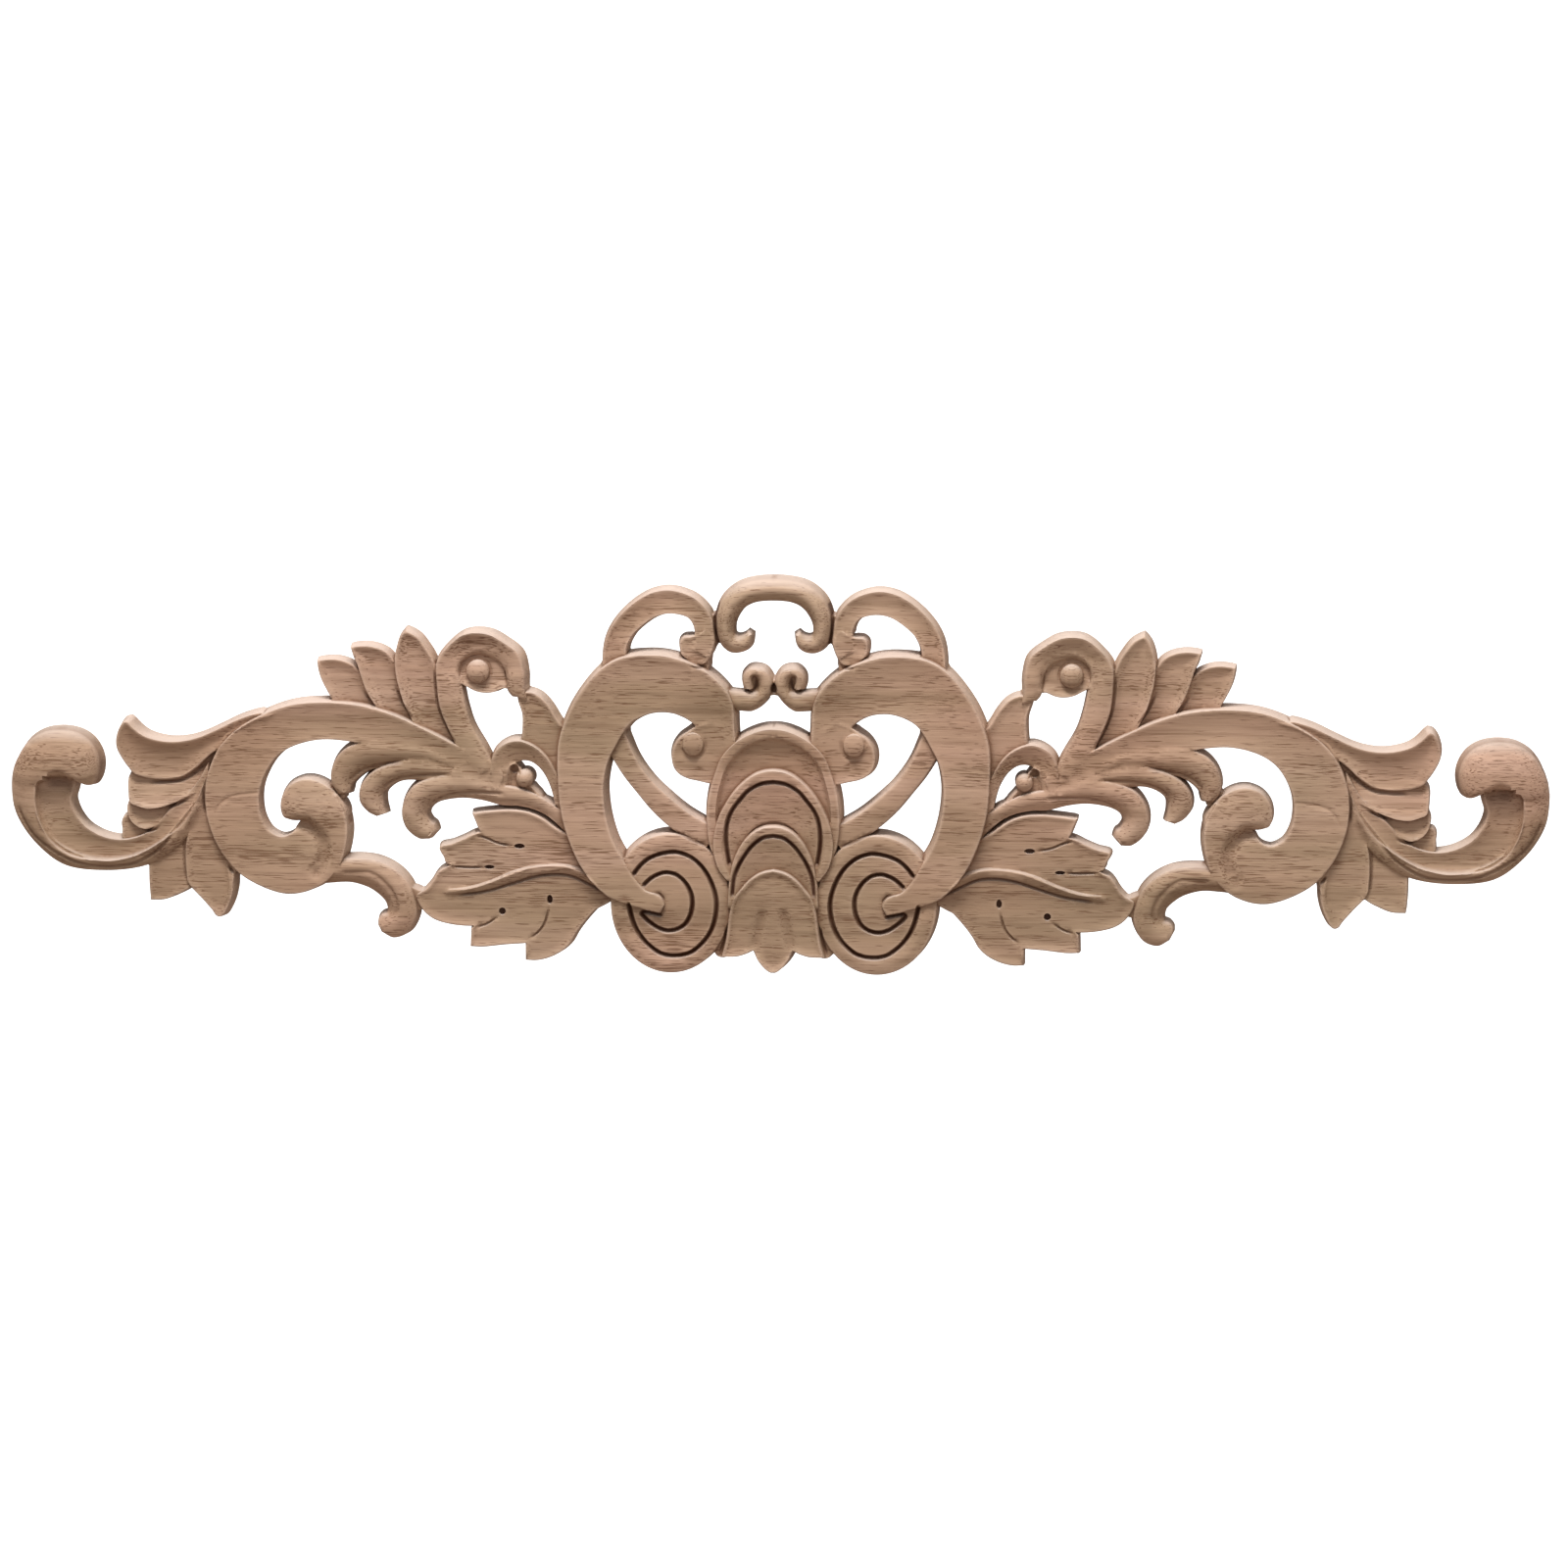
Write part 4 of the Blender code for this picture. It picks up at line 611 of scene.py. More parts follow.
def merged(loops):
    """One outline round several loops that overlap."""
    pts, lines = [], []
    for loop in loops:
        base = len(pts)
        pts += [Vector((float(x), float(z))) for x, z in loop]
        lines += [(base + i, base + (i + 1) % len(loop)) for i in range(len(loop))]
    v, _, f, _, _, _ = delaunay_2d_cdt(pts, lines, [], 0, 0.0005)
    v = np.array([(p.x, p.y) for p in v])
    t = np.array([tuple(q) for q in f if len(q) == 3])
    mid = v[t].mean(axis=1)
    t = t[np.any([inside(mid, loop) for loop in loops], axis=0)]
    a, b, c = (v[t[:, i]] for i in range(3))
    area = (b[:, 0] - a[:, 0]) * (c[:, 1] - a[:, 1]) - (b[:, 1] - a[:, 1]) * (c[:, 0] - a[:, 0])
    t[area < 0] = t[area < 0][:, ::-1]
    sides = set(map(tuple, np.vstack([t[:, [0, 1]], t[:, [1, 2]], t[:, [2, 0]]]).tolist()))
    after = {a: b for a, b in sides if (b, a) not in sides}
    start = min(after, key=lambda i: v[i, 0])
    out, at = [], start
    while True:
        out.append(v[at])
        at = after[at]
        if at == start:
            return np.array(out)


# ------------------------------------------------------------ the carved pieces
class Carved:
    """One level of the carving: a closed outline, and the height within it."""

    def __init__(self, name, loop, top, radius=EDGE_R, draft=None):
        area = 0.5 * np.sum(loop[:, 0] * np.roll(loop[:, 1], -1)
                            - np.roll(loop[:, 0], -1) * loop[:, 1])
        draft = np.full(len(loop), DRAFT) if draft is None else draft
        if area < 0:
            loop, draft = loop[::-1].copy(), draft[::-1].copy()
        self.name, self.loop, self.top, self.radius, self.draft = name, loop, top, radius, draft
        self.rim = top(loop, np.zeros(len(loop))) - radius
        self.low, self.high = loop.min(axis=0) - 1.6, loop.max(axis=0) + 1.6

    def height(self, p):
        d, k, f, _ = to_line(p, self.loop, True)
        within = inside(p, self.loop)
        h = np.empty(len(p))
        if within.any():
            q, e = p[within], d[within]
            bend = np.clip(1 - e / self.radius, 0, 1)
            h[within] = self.top(q, e) + self.radius * (np.sqrt(1 - bend ** 2) - 1)
        out = ~within
        if out.any():
            k, f = k[out], f[out]
            nxt = (k + 1) % len(self.loop)
            rim = self.rim[k] * (1 - f) + self.rim[nxt] * f
            draft = self.draft[k] * (1 - f) + self.draft[nxt] * f
            h[out] = rim - d[out] / draft
        return h


def ease(t):
    t = np.clip(t, 0, 1)
    return t * t * (3 - 2 * t)


def plate_top(name, loop, height, slope_x, slope_z):
    cx, cz = loop.mean(axis=0)
    depth, reach = SCOOP.get(name, (0.0, 1.0))

    def top(p, d):
        h = height + slope_x * (p[:, 0] - cx) + slope_z * (p[:, 1] - cz)
        t = np.clip((d - 0.35) / reach, 0, 1)
        return h - depth * t * (2 - t)
    return top


def band_top(name, rows, keys):
    run = catmull(rows, 8)
    inner, outer = run[:, :2], run[:, 2:]
    w = outer - inner
    width = np.maximum(np.linalg.norm(w, axis=1), 1e-6)
    mid = 0.5 * (inner + outer)
    ahead = np.sum(w[:-1, 0] * np.diff(mid[:, 1]) - w[:-1, 1] * np.diff(mid[:, 0]))
    turn = 1.0 if ahead > 0 else -1.0
    at = np.arange(len(run)) / 8.0
    ks = sorted(keys)
    hs = [np.interp(at, ks, [keys[k][j] for k in ks]) for j in range(3)]
    rim_width = RIM.get(name, 0.0)

    def locate(p):
        s, u = np.empty(len(p)), np.empty(len(p))
        step = max(1, 900000 // len(run))
        for i in range(0, len(p), step):
            q = p[i:i + step]
            dx = q[:, 0:1] - inner[None, :, 0]
            dz = q[:, 1:2] - inner[None, :, 1]
            lead = turn * (w[:, 0] * dz - w[:, 1] * dx) / width
            a, b = lead[:, :-1], lead[:, 1:]
            ok = (a >= 0) & (b <= 0)
            f = np.where(ok, a / np.maximum(a - b, 1e-9), 0.0)
            bx = dx[:, :-1] * (1 - f) + dx[:, 1:] * f
            bz = dz[:, :-1] * (1 - f) + dz[:, 1:] * f
            wx = w[:-1, 0] * (1 - f) + w[1:, 0] * f
            wz = w[:-1, 1] * (1 - f) + w[1:, 1] * f
            uu = (bx * wx + bz * wz) / np.maximum(wx * wx + wz * wz, 1e-9)
            miss = np.where(ok, np.maximum(np.maximum(-uu, uu - 1), 0), 1e6)
            k = np.argmin(miss, axis=1)
            row = np.arange(len(q))
            s[i:i + step] = k + f[row, k]
            u[i:i + step] = uu[row, k]
            lost = miss[row, k] > 1e5
            if lost.any():
                r = q[lost]
                ends = []
                for e in (0, len(run) - 1):
                    v = r - inner[e]
                    t = np.clip((v @ w[e]) / width[e] ** 2, 0, 1)
                    ends.append((np.linalg.norm(v - t[:, None] * w[e], axis=1), t))
                first = ends[0][0] < ends[1][0]
                where = np.where(lost)[0] + i
                s[where] = np.where(first, 0, len(run) - 1)
                u[where] = np.where(first, ends[0][1], ends[1][1])
        return s, np.clip(u, 0, 1)

    def top(p, d):
        s, u = locate(p)
        hi, hm, ho = (np.interp(s, np.arange(len(run)), h) for h in hs)
        h = hi * (1 - u) * (1 - 2 * u) + hm * 4 * u * (1 - u) + ho * u * (2 * u - 1)
        if rim_width:
            wide = np.interp(s, np.arange(len(run)), width)
            off = (1 - u) * wide
            flat = ho - 0.15 - 0.05 * off
            leave = ease((off - rim_width + 0.5) / 1.0)
            h = np.maximum(h, flat) * (1 - leave) + h * leave
        return h
    return top


carved = []
rim_lines = []
for name, (rows, keys) in BANDS.items():
    run = catmull(rows, 8)
    if name in RIM:
        across = run[:, :2] - run[:, 2:]
        across /= np.maximum(np.linalg.norm(across, axis=1), 1e-6)[:, None]
        rim_lines += [(len(carved), run[:, 2:] + across * (RIM[name] + off))
                      for off in (-0.5, 0.0, 0.5)]
    loop = np.vstack([run[:, 2:], run[::-1, :2]])
    draft = np.full(len(loop), DRAFT)
    if name in UPRIGHT_INSIDE:
        draft[len(run):] = DRAFT_INSIDE
    carved.append(Carved(name, loop, band_top(name, rows, keys), draft=draft))
for name, (corners, height, sx, sz) in PLATES.items():
    if name not in MAPLE:
        loop = outline(corners)
        carved.append(Carved(name, loop, plate_top(name, loop, height, sx, sz)))
loop = merged([outline(PLATES[name][0]) for name in MAPLE])
carved.append(Carved("maple", loop, plate_top("maple", loop, *MAPLE_TOP)))

ring = np.array([(DISC[0] + DISC[2] * math.cos(a), DISC[1] + DISC[3] * math.sin(a))
                 for a in np.linspace(0, 2 * math.pi, 160, endpoint=False)])


def disc_top(p, d):
    return DISC[4] + 0.5 * ease(d / 3.0) - 0.5 * ease((d - 3.0) / 3.5)


carved.append(Carved("scroll_disc", ring, disc_top))

for name, (x, z, rx, rz, top, fall) in DOMES.items():
    loop = np.array([(x + rx * math.cos(a), z + rz * math.sin(a))
                     for a in np.linspace(0, 2 * math.pi, 72, endpoint=False)])

    def dome(p, d, x=x, z=z, rx=rx, rz=rz, top=top, fall=fall):
        r2 = ((p[:, 0] - x) / rx) ** 2 + ((p[:, 1] - z) / rz) ** 2
        return top - fall + fall * np.sqrt(np.clip(1 - r2, 0, 1))
    carved.append(Carved(name, loop, dome, radius=0.15, draft=np.full(72, 0.05)))

for name, (corners, low, high) in BALLS.items():
    loop = outline(corners)
    c = loop.mean(axis=0)
    ang = np.arctan2(loop[:, 1] - c[1], loop[:, 0] - c[0])
    rad = np.hypot(loop[:, 1] - c[1], loop[:, 0] - c[0])
    order = np.argsort(ang)
    table_a = np.concatenate([ang[order] - 2 * math.pi, ang[order], ang[order] + 2 * math.pi])
    table_r = np.tile(rad[order], 3)

    def ball(p, d, c=c, a=table_a, r=table_r, low=low, high=high,
             power=0.5 if high > 12 else 1.0):
        q = p - c
        share = np.clip(np.hypot(q[:, 0], q[:, 1])
                        / np.interp(np.arctan2(q[:, 1], q[:, 0]), a, r), 0, 1)
        return low + (high - low) * (1 - share ** 2) ** power
    carved.append(Carved(name, loop, ball, radius=0.4))

cuts = [(hw, dp, dark, catmull(pts, 6)) for hw, dp, dark, pts in CUTS]
ridges = [(hw, dp, catmull(pts, 6)) for hw, dp, pts in RIDGES]
flow_of = np.full(len(carved) + 1, -1)
flow_depth = np.ones(len(carved) + 1)
for number, (depth, names) in enumerate(FLOWS):
    for k, piece in enumerate(carved):
        if piece.name in names:
            flow_of[k], flow_depth[k] = number, depth


def run_out(line, k, f):
    """1 along the line, easing to 0 at both its ends."""
    length = np.linalg.norm(np.diff(line, axis=0), axis=1)
    start = np.concatenate([[0.0], np.cumsum(length)])
    along = start[k] + f * length[k]
    return ease(np.minimum(along, start[-1] - along) / min(TAPER, 0.4 * start[-1]))


def near(p, line, reach):
    lo, hi = line.min(axis=0) - reach, line.max(axis=0) + reach
    return np.all((p >= lo) & (p <= hi), axis=1)


def relief(p, skip=-1, details=True):
    """Height over the back at each point, which piece shows there, and how
    dark the cuts make it."""
    best = np.full(len(p), -50.0)
    who = np.full(len(p), -1)
    for k, piece in enumerate(carved):
        if k == skip:
            continue
        m = np.where(np.all((p >= piece.low) & (p <= piece.high), axis=1))[0]
        if not len(m):
            continue
        h = piece.height(p[m])
        was = best[m]
        up = h > was
        soft = (flow_of[who[m]] == flow_of[k]) & (flow_of[k] >= 0)
        bulge = np.clip(flow_depth[k] - np.abs(h - was), 0, None) ** 2 / (4 * flow_depth[k])
        best[m] = np.maximum(h, was) + np.where(soft, bulge, 0.0)
        who[m[up]] = k
    dark = np.zeros(len(p))
    if details:
        change = np.zeros(len(p))
        for hw, dp, burn_and_shade, line in cuts:
            m = np.where(near(p, line, hw))[0]
            if len(m):
                d, k, f, _ = to_line(p[m], line, False)
                t = np.clip(1 - d / hw, 0, 1)
                fade = run_out(line, k, f) if burn_and_shade < 0.75 else 1.0
                change[m] = np.minimum(change[m], -dp * ease(t * 1.15) * fade)
                dark[m] = np.maximum(dark[m], burn_and_shade * ease(t * 1.25) * fade)
        for x, z, rx, rz, dp, burn_and_shade in PITS:
            r2 = ((p[:, 0] - x) / rx) ** 2 + ((p[:, 1] - z) / rz) ** 2
            m = r2 < 1
            steep = np.clip(2.0 * (1 - r2[m]), 0, 1)
            change[m] = np.minimum(change[m], -dp * steep)
            dark[m] = np.maximum(dark[m], burn_and_shade * steep)
        for hw, dp, line in ridges:
            m = np.where(near(p, line, hw))[0]
            if len(m):
                d, k, f, _ = to_line(p[m], line, False)
                change[m] += dp * ease(1 - d / hw) * run_out(line, k, f)
        tall = best > 1.5
        best = np.where(tall, best + np.where(best + change < 1.0, 0, change), best)
    return best, who, dark


# ------------------------------------------ the map that gives depth and shade
map_x = np.arange(-252.0, 0.0 + RASTER, RASTER)
map_z = np.arange(-70.0, 70.0 + RASTER, RASTER)
grid_x, grid_z = np.meshgrid(map_x, map_z)
flat = np.stack([grid_x.ravel(), grid_z.ravel()], axis=1)
map_h, map_who, _ = relief(flat)
map_h = np.maximum(map_h, 0.0).reshape(grid_x.shape)
map_who = map_who.reshape(grid_x.shape)


def soften(a, sigma):
    """Gaussian mean of the map, mirrored across the middle."""
    reach = int(math.ceil(3 * sigma / RASTER))
    taps = np.exp(-0.5 * (np.arange(-reach, reach + 1) * RASTER / sigma) ** 2)
    taps /= taps.sum()
    wide = np.hstack([a, a[:, -2:-2 - reach:-1]])
    wide = np.pad(wide, ((reach, reach), (reach, 0)), mode="edge")
    rows = sum(t * wide[:, i:i + wide.shape[1] - 2 * reach] for i, t in enumerate(taps))
    return sum(t * rows[i:i + rows.shape[0] - 2 * reach] for i, t in enumerate(taps))


def read_map(a, p):
    """The map's value at each point, between its cells."""
    fx = np.clip((p[:, 0] - map_x[0]) / RASTER, 0, len(map_x) - 1.001)
    fz = np.clip((p[:, 1] - map_z[0]) / RASTER, 0, len(map_z) - 1.001)
    i, j = fx.astype(int), fz.astype(int)
    u, v = fx - i, fz - j
    return ((a[j, i] * (1 - u) + a[j, i + 1] * u) * (1 - v)
            + (a[j + 1, i] * (1 - u) + a[j + 1, i + 1] * u) * v)


solid = (map_h > 0.3).astype(float)


def level_around(sigma):
    """Mean height of the carving near each place, the openings left out."""
    return soften(map_h * solid, sigma) / np.maximum(soften(solid, sigma), 0.05)


near_level, wide_level = level_around(0.55), level_around(2.6)

# ------------------------------------------------- the lines the mesh follows
points, edges = [], []


def add_line(p, keep, closed):
    index = np.full(len(p), -1)
    for i in np.where(keep)[0]:
        if p[i, 0] < 1.2:
            index[i] = len(points)
            points.append((p[i, 0], p[i, 1]))
    for i in range(len(p) if closed else len(p) - 1):
        a, b = index[i], index[(i + 1) % len(p)]
        if a >= 0 and b >= 0:
            edges.append((int(a), int(b)))


def outward(loop):
    nxt = np.roll(loop, -1, axis=0) - loop
    prv = loop - np.roll(loop, 1, axis=0)
    nxt /= np.maximum(np.linalg.norm(nxt, axis=1), 1e-9)[:, None]
    prv /= np.maximum(np.linalg.norm(prv, axis=1), 1e-9)[:, None]
    t = nxt + prv
    t /= np.maximum(np.linalg.norm(t, axis=1), 1e-6)[:, None]
    return np.stack([t[:, 1], -t[:, 0]], axis=1)     # the loops run anticlockwise


for k, piece in enumerate(carved):
    closed = np.vstack([piece.loop, piece.loop[:1]])
    loop = thin(closed, 0.025, 1.3)[:-1]
    out = outward(loop)
    rim = piece.top(loop, np.zeros(len(loop))) - piece.radius
    _, seg, f, _ = to_line(loop, piece.loop, True)
    draft = piece.draft[seg]
    others = relief(loop, skip=k, details=False)[0]
    shows = rim > others + 0.03
    wider = shows | np.roll(shows, 1) | np.roll(shows, -1)
    add_line(loop, wider, True)
    under = np.maximum(relief(loop + out * 0.25, skip=k, details=False)[0], 0.0)
    drop = draft * (rim - under)
    foot = loop + out * drop[:, None]
    add_line(foot, shows & (drop > 0.03), True)
    for share, line in ((0.3, False), (1.0, True), (2.6, True)):
        q = loop - out * (share * piece.radius)
        d = to_line(q, piece.loop, True)[0]
        ok = shows & (d > 0.85 * share * piece.radius) & inside(q, piece.loop)
        ok &= relief(q, skip=k, details=False)[0] < piece.height(q)
        if line:
            add_line(q, ok, True)
        else:
            points.extend((x, z) for x, z in q[ok] if x < 1.2)

for hw, dp, *rest in cuts + ridges:
    line = thin(rest[-1], 0.025, 1.3)
    t = np.gradient(line, axis=0)
    t /= np.maximum(np.linalg.norm(t, axis=1), 1e-9)[:, None]
    side = np.stack([t[:, 1], -t[:, 0]], axis=1)
    for share in (0.0, -0.45, 0.45, -1.0, 1.0):
        q = line + side * hw * share
        add_line(q, relief(q, details=False)[0] > 1.5, False)
for k, line in rim_lines:
    add_line(line, relief(line, details=False)[1] == k, False)
for x, z, rx, rz, dp, burn_and_shade in PITS:
    for share in (0.35, 0.72, 1.0):
        a = np.linspace(0, 2 * math.pi, 14, endpoint=False)
        q = np.stack([x + rx * share * np.cos(a), z + rz * share * np.sin(a)], axis=1)
        add_line(q, relief(q, details=False)[0] > 1.5, True)

middle = np.arange(-70.0, 70.01, 0.6)
add_line(np.stack([np.zeros_like(middle), middle], axis=1), np.ones(len(middle), bool), False)

# points between the lines, denser where two pieces run into each other
taken = np.zeros((int(140 / 0.2) + 2, int(256 / 0.2) + 2), bool)
drawn = np.array(points)
ti = np.clip(((drawn[:, 1] + 70) / 0.2).astype(int), 0, taken.shape[0] - 1)
tj = np.clip(((drawn[:, 0] + 254) / 0.2).astype(int), 0, taken.shape[1] - 1)
taken[ti, tj] = True


def grown(a, by):
    out = a.copy()
    for di in range(-by, by + 1):
        for dj in range(-by, by + 1):
            if di * di + dj * dj <= by * by + 1:
                out |= np.roll(np.roll(a, di, axis=0), dj, axis=1)
    return out


def free(p, mask):
    i = np.clip(((p[:, 1] + 70) / 0.2).astype(int), 0, mask.shape[0] - 1)
    j = np.clip(((p[:, 0] + 254) / 0.2).astype(int), 0, mask.shape[1] - 1)
    return ~mask[i, j]


meet = np.zeros(map_who.shape, bool)
for axis in (0, 1):
    other_who, other_h = np.roll(map_who, -1, axis=axis), np.roll(map_h, -1, axis=axis)
    meet |= (map_who != other_who) & (np.abs(map_h - other_h) < 0.9) & (map_h > 0.5)
seam = np.stack([grid_x[meet] + 0.1, grid_z[meet] + 0.1], axis=1)
seam = seam[free(seam, grown(taken, 2)) & (seam[:, 0] < -0.2)]
points.extend(map(tuple, seam))
si = np.clip(((seam[:, 1] + 70) / 0.2).astype(int), 0, taken.shape[0] - 1)
sj = np.clip(((seam[:, 0] + 254) / 0.2).astype(int), 0, taken.shape[1] - 1)
taken[si, sj] = True

rows_z = np.arange(-69.0, 69.0, GRID * 0.866)
hexes = np.vstack([np.stack([np.arange(-251.0 + (GRID / 2 if r % 2 else 0), -0.3, GRID),
                             np.full(len(np.arange(-251.0 + (GRID / 2 if r % 2 else 0),
                                                   -0.3, GRID)), z)], axis=1)
                   for r, z in enumerate(rows_z)])
steep = np.zeros(map_h.shape)
for axis in (0, 1):
    for way in (-1, 1):
        steep = np.maximum(steep, np.abs(map_h - np.roll(map_h, way, axis=axis)))
level = (read_map(map_h, hexes) > 0.8) & (read_map(steep, hexes) < 0.9)
hexes = hexes[level & free(hexes, grown(taken, 3))]
points.extend(map(tuple, hexes))

verts2, _, faces2, _, _, _ = delaunay_2d_cdt(
    [Vector((float(x), float(z))) for x, z in points], edges, [], 0, 0.004)
flat_v = np.array([(v.x, v.y) for v in verts2])
tris = np.array([tuple(f) for f in faces2 if len(f) == 3])
middle_of = flat_v[tris].mean(axis=1)
tris = tris[(middle_of[:, 0] < -1e-4)]
middle_of = flat_v[tris].mean(axis=1)
tris = tris[relief(middle_of, details=False)[0] > 0.0]
a, b, c = (flat_v[tris[:, i]] for i in range(3))
area = (b[:, 0] - a[:, 0]) * (c[:, 1] - a[:, 1]) - (b[:, 1] - a[:, 1]) * (c[:, 0] - a[:, 0])
tris[area < 0] = tris[area < 0][:, ::-1]


def largest_part(tris, count):
    """Only the faces that hang together with the main body."""
    group = np.arange(count)

    def root(i):
        while group[i] != i:
            group[i] = group[group[i]]
            i = group[i]
        return i
    for f in tris:
        r = root(f[0])
        group[root(f[1])] = r
        group[root(f[2])] = root(r)
    roots = np.array([root(f[0]) for f in tris])
    names, counts = np.unique(roots, return_counts=True)
    return tris[roots == names[np.argmax(counts)]]


flat_v[np.abs(flat_v[:, 0]) < 0.02, 0] = 0.0
tris = tris[np.any(flat_v[tris][:, :, 0] < 0, axis=1)]
tris = largest_part(tris, len(flat_v))
used, tris = np.unique(tris, return_inverse=True)
tris = tris.reshape(-1, 3)
flat_v = flat_v[used]
height, piece_of, dark = relief(flat_v)

# rim edges belong to one triangle: there the relief meets the back plane
sides = np.sort(np.vstack([tris[:, [0, 1]], tris[:, [1, 2]], tris[:, [2, 0]]]), axis=1)
uniq, times = np.unique(sides, axis=0, return_counts=True)
rim_edges = uniq[times == 1]
on_axis = np.abs(flat_v[:, 0]) < 1e-3
flat_v[on_axis, 0] = 0.0
rim_edges = rim_edges[~(on_axis[rim_edges[:, 0]] & on_axis[rim_edges[:, 1]])]
height = np.maximum(height, 0.35)
height[np.unique(rim_edges)] = 0.0

n = len(flat_v)
mirror_index = np.where(on_axis, np.arange(n), 0)
off_axis = np.where(~on_axis)[0]
mirror_index[off_axis] = n + np.arange(len(off_axis))
all_flat = np.vstack([flat_v, flat_v[off_axis] * (-1, 1)])
all_h = np.concatenate([height, height[off_axis]])
front = np.vstack([tris, mirror_index[tris][:, ::-1]])

# the flat back, inside the same rim
rim_all = np.vstack([rim_edges, mirror_index[rim_edges]])
rim_ids, rim_local = np.unique(rim_all, return_inverse=True)
rim_local = rim_local.reshape(-1, 2)
bv, _, bf, borig, _, _ = delaunay_2d_cdt(
    [Vector((float(all_flat[i, 0]), float(all_flat[i, 1]))) for i in rim_ids],
    [(int(i), int(j)) for i, j in rim_local], [], 0, 0.0005)
back_ids = []
extra = []
for v, origin in zip(bv, borig):
    if origin:
        back_ids.append(int(rim_ids[origin[0]]))
    else:
        back_ids.append(len(all_flat) + len(extra))
        extra.append((v.x, v.y))
back_ids = np.array(back_ids)
bxy = np.array([(v.x, v.y) for v in bv])
btri = np.array([tuple(f) for f in bf if len(f) == 3])
bm_mid = bxy[btri].mean(axis=1)
bm_mid[:, 0] = -np.abs(bm_mid[:, 0])
btri = btri[relief(bm_mid, details=False)[0] > 0.0]
a, b, c = (bxy[btri[:, i]] for i in range(3))
area = (b[:, 0] - a[:, 0]) * (c[:, 1] - a[:, 1]) - (b[:, 1] - a[:, 1]) * (c[:, 0] - a[:, 0])
btri[area > 0] = btri[area > 0][:, ::-1]
if extra:
    all_flat = np.vstack([all_flat, extra])
    all_h = np.concatenate([all_h, np.zeros(len(extra))])
faces = np.vstack([front, back_ids[btri]])

# ----------------------------------------------- painted shade and highlight for the wood's material
left = all_flat.copy()
left[:, 0] = -np.abs(left[:, 0])
on_back = all_h < 0.05
# cavity: negative above the carving around a place, for the painted edge highlight, positive below
# it, for the painted shade; basin: how far below the broad carving around it, for painted shade in
# wide hollows
cavity = np.clip((read_map(near_level, left) - all_h) / 1.6, -1, 1)
basin = np.clip((read_map(wide_level, left) - all_h) / 3.2, -1, 1)
outer_wall = (np.roll(map_h, 3, axis=0) < 0.5) | (np.roll(map_h, -3, axis=0) < 0.5)
on_wall = (left[:, 0] > -0.02) & (read_map(steep * outer_wall, left) > 0.9)
cavity[on_back | on_wall] = 0.0
basin[on_back] = 0.0
# darkness of the cuts and pits, partly scorched colour and partly painted shade, for both halves
burn_and_shade = np.zeros(len(all_flat))
burn_and_shade[:n] = dark
burn_and_shade[n:n + len(off_axis)] = dark[off_axis]

# ------------------------------------------- set in the board's place and size
low_z, high_z = all_flat[:, 1].min(), all_flat[:, 1].max()
scale_x = (cad_high.x - cad_low.x) / MM / (all_flat[:, 0].max() - all_flat[:, 0].min())
scale_z = (cad_high.z - cad_low.z) / MM / (high_z - low_z)
co = np.stack([all_flat[:, 0] * scale_x * MM, -all_h * MM,
               (all_flat[:, 1] - 0.5 * (low_z + high_z)) * scale_z * MM], axis=1)
co[:, 1] *= (cad_high.y - cad_low.y) / MM / max(all_h.max(), (cad_high.y - cad_low.y) / MM)

mesh = bpy.data.meshes.new(PIECE)
mesh.from_pydata(co.tolist(), [], faces.tolist())
mesh.validate()
mesh.update()
bm = bmesh.new()
bm.from_mesh(mesh)
source = bm.verts.layers.int.new("source")
for vert in bm.verts:
    vert[source] = vert.index


def drop_spare_faces():
    spare = [f for f in bm.faces if any(e.is_boundary for e in f.edges)
             and any(len(e.link_faces) > 2 for e in f.edges)]
    if spare:
        bmesh.ops.delete(bm, geom=spare, context="FACES")


drop_spare_faces()
open_edges = [e for e in bm.edges if e.is_boundary]
if open_edges:
    bmesh.ops.holes_fill(bm, edges=open_edges, sides=6)
    bmesh.ops.triangulate(bm, faces=[f for f in bm.faces if len(f.verts) > 3])
drop_spare_faces()
print("back slivers: open edges before", len(open_edges), "after",
      sum(e.is_boundary for e in bm.edges), "points dropped", len(co) - len(bm.verts))
kept = np.array([vert[source] for vert in bm.verts])
bm.verts.layers.int.remove(source)
bm.to_mesh(mesh)
bm.free()
burn_and_shade, cavity, basin = burn_and_shade[kept], cavity[kept], basin[kept]
mesh.update()
for name, values in (("burn_and_shade", burn_and_shade), ("cavity", cavity), ("basin", basin)):
    layer = mesh.attributes.new(name, "FLOAT", "POINT")
    layer.data.foreach_set("value", values.astype(np.float32))
mesh.shade_smooth()
mesh.set_sharp_from_angle(angle=math.radians(52))
onlay = bpy.data.objects.new(PIECE, mesh)
bpy.context.scene.collection.objects.link(onlay)
print("relief", len(mesh.vertices), "points", len(mesh.polygons), "faces",
      "tallest", round(float(all_h.max()), 2), "scales", round(scale_x, 4), round(scale_z, 4),
      "loose back points", len(extra))


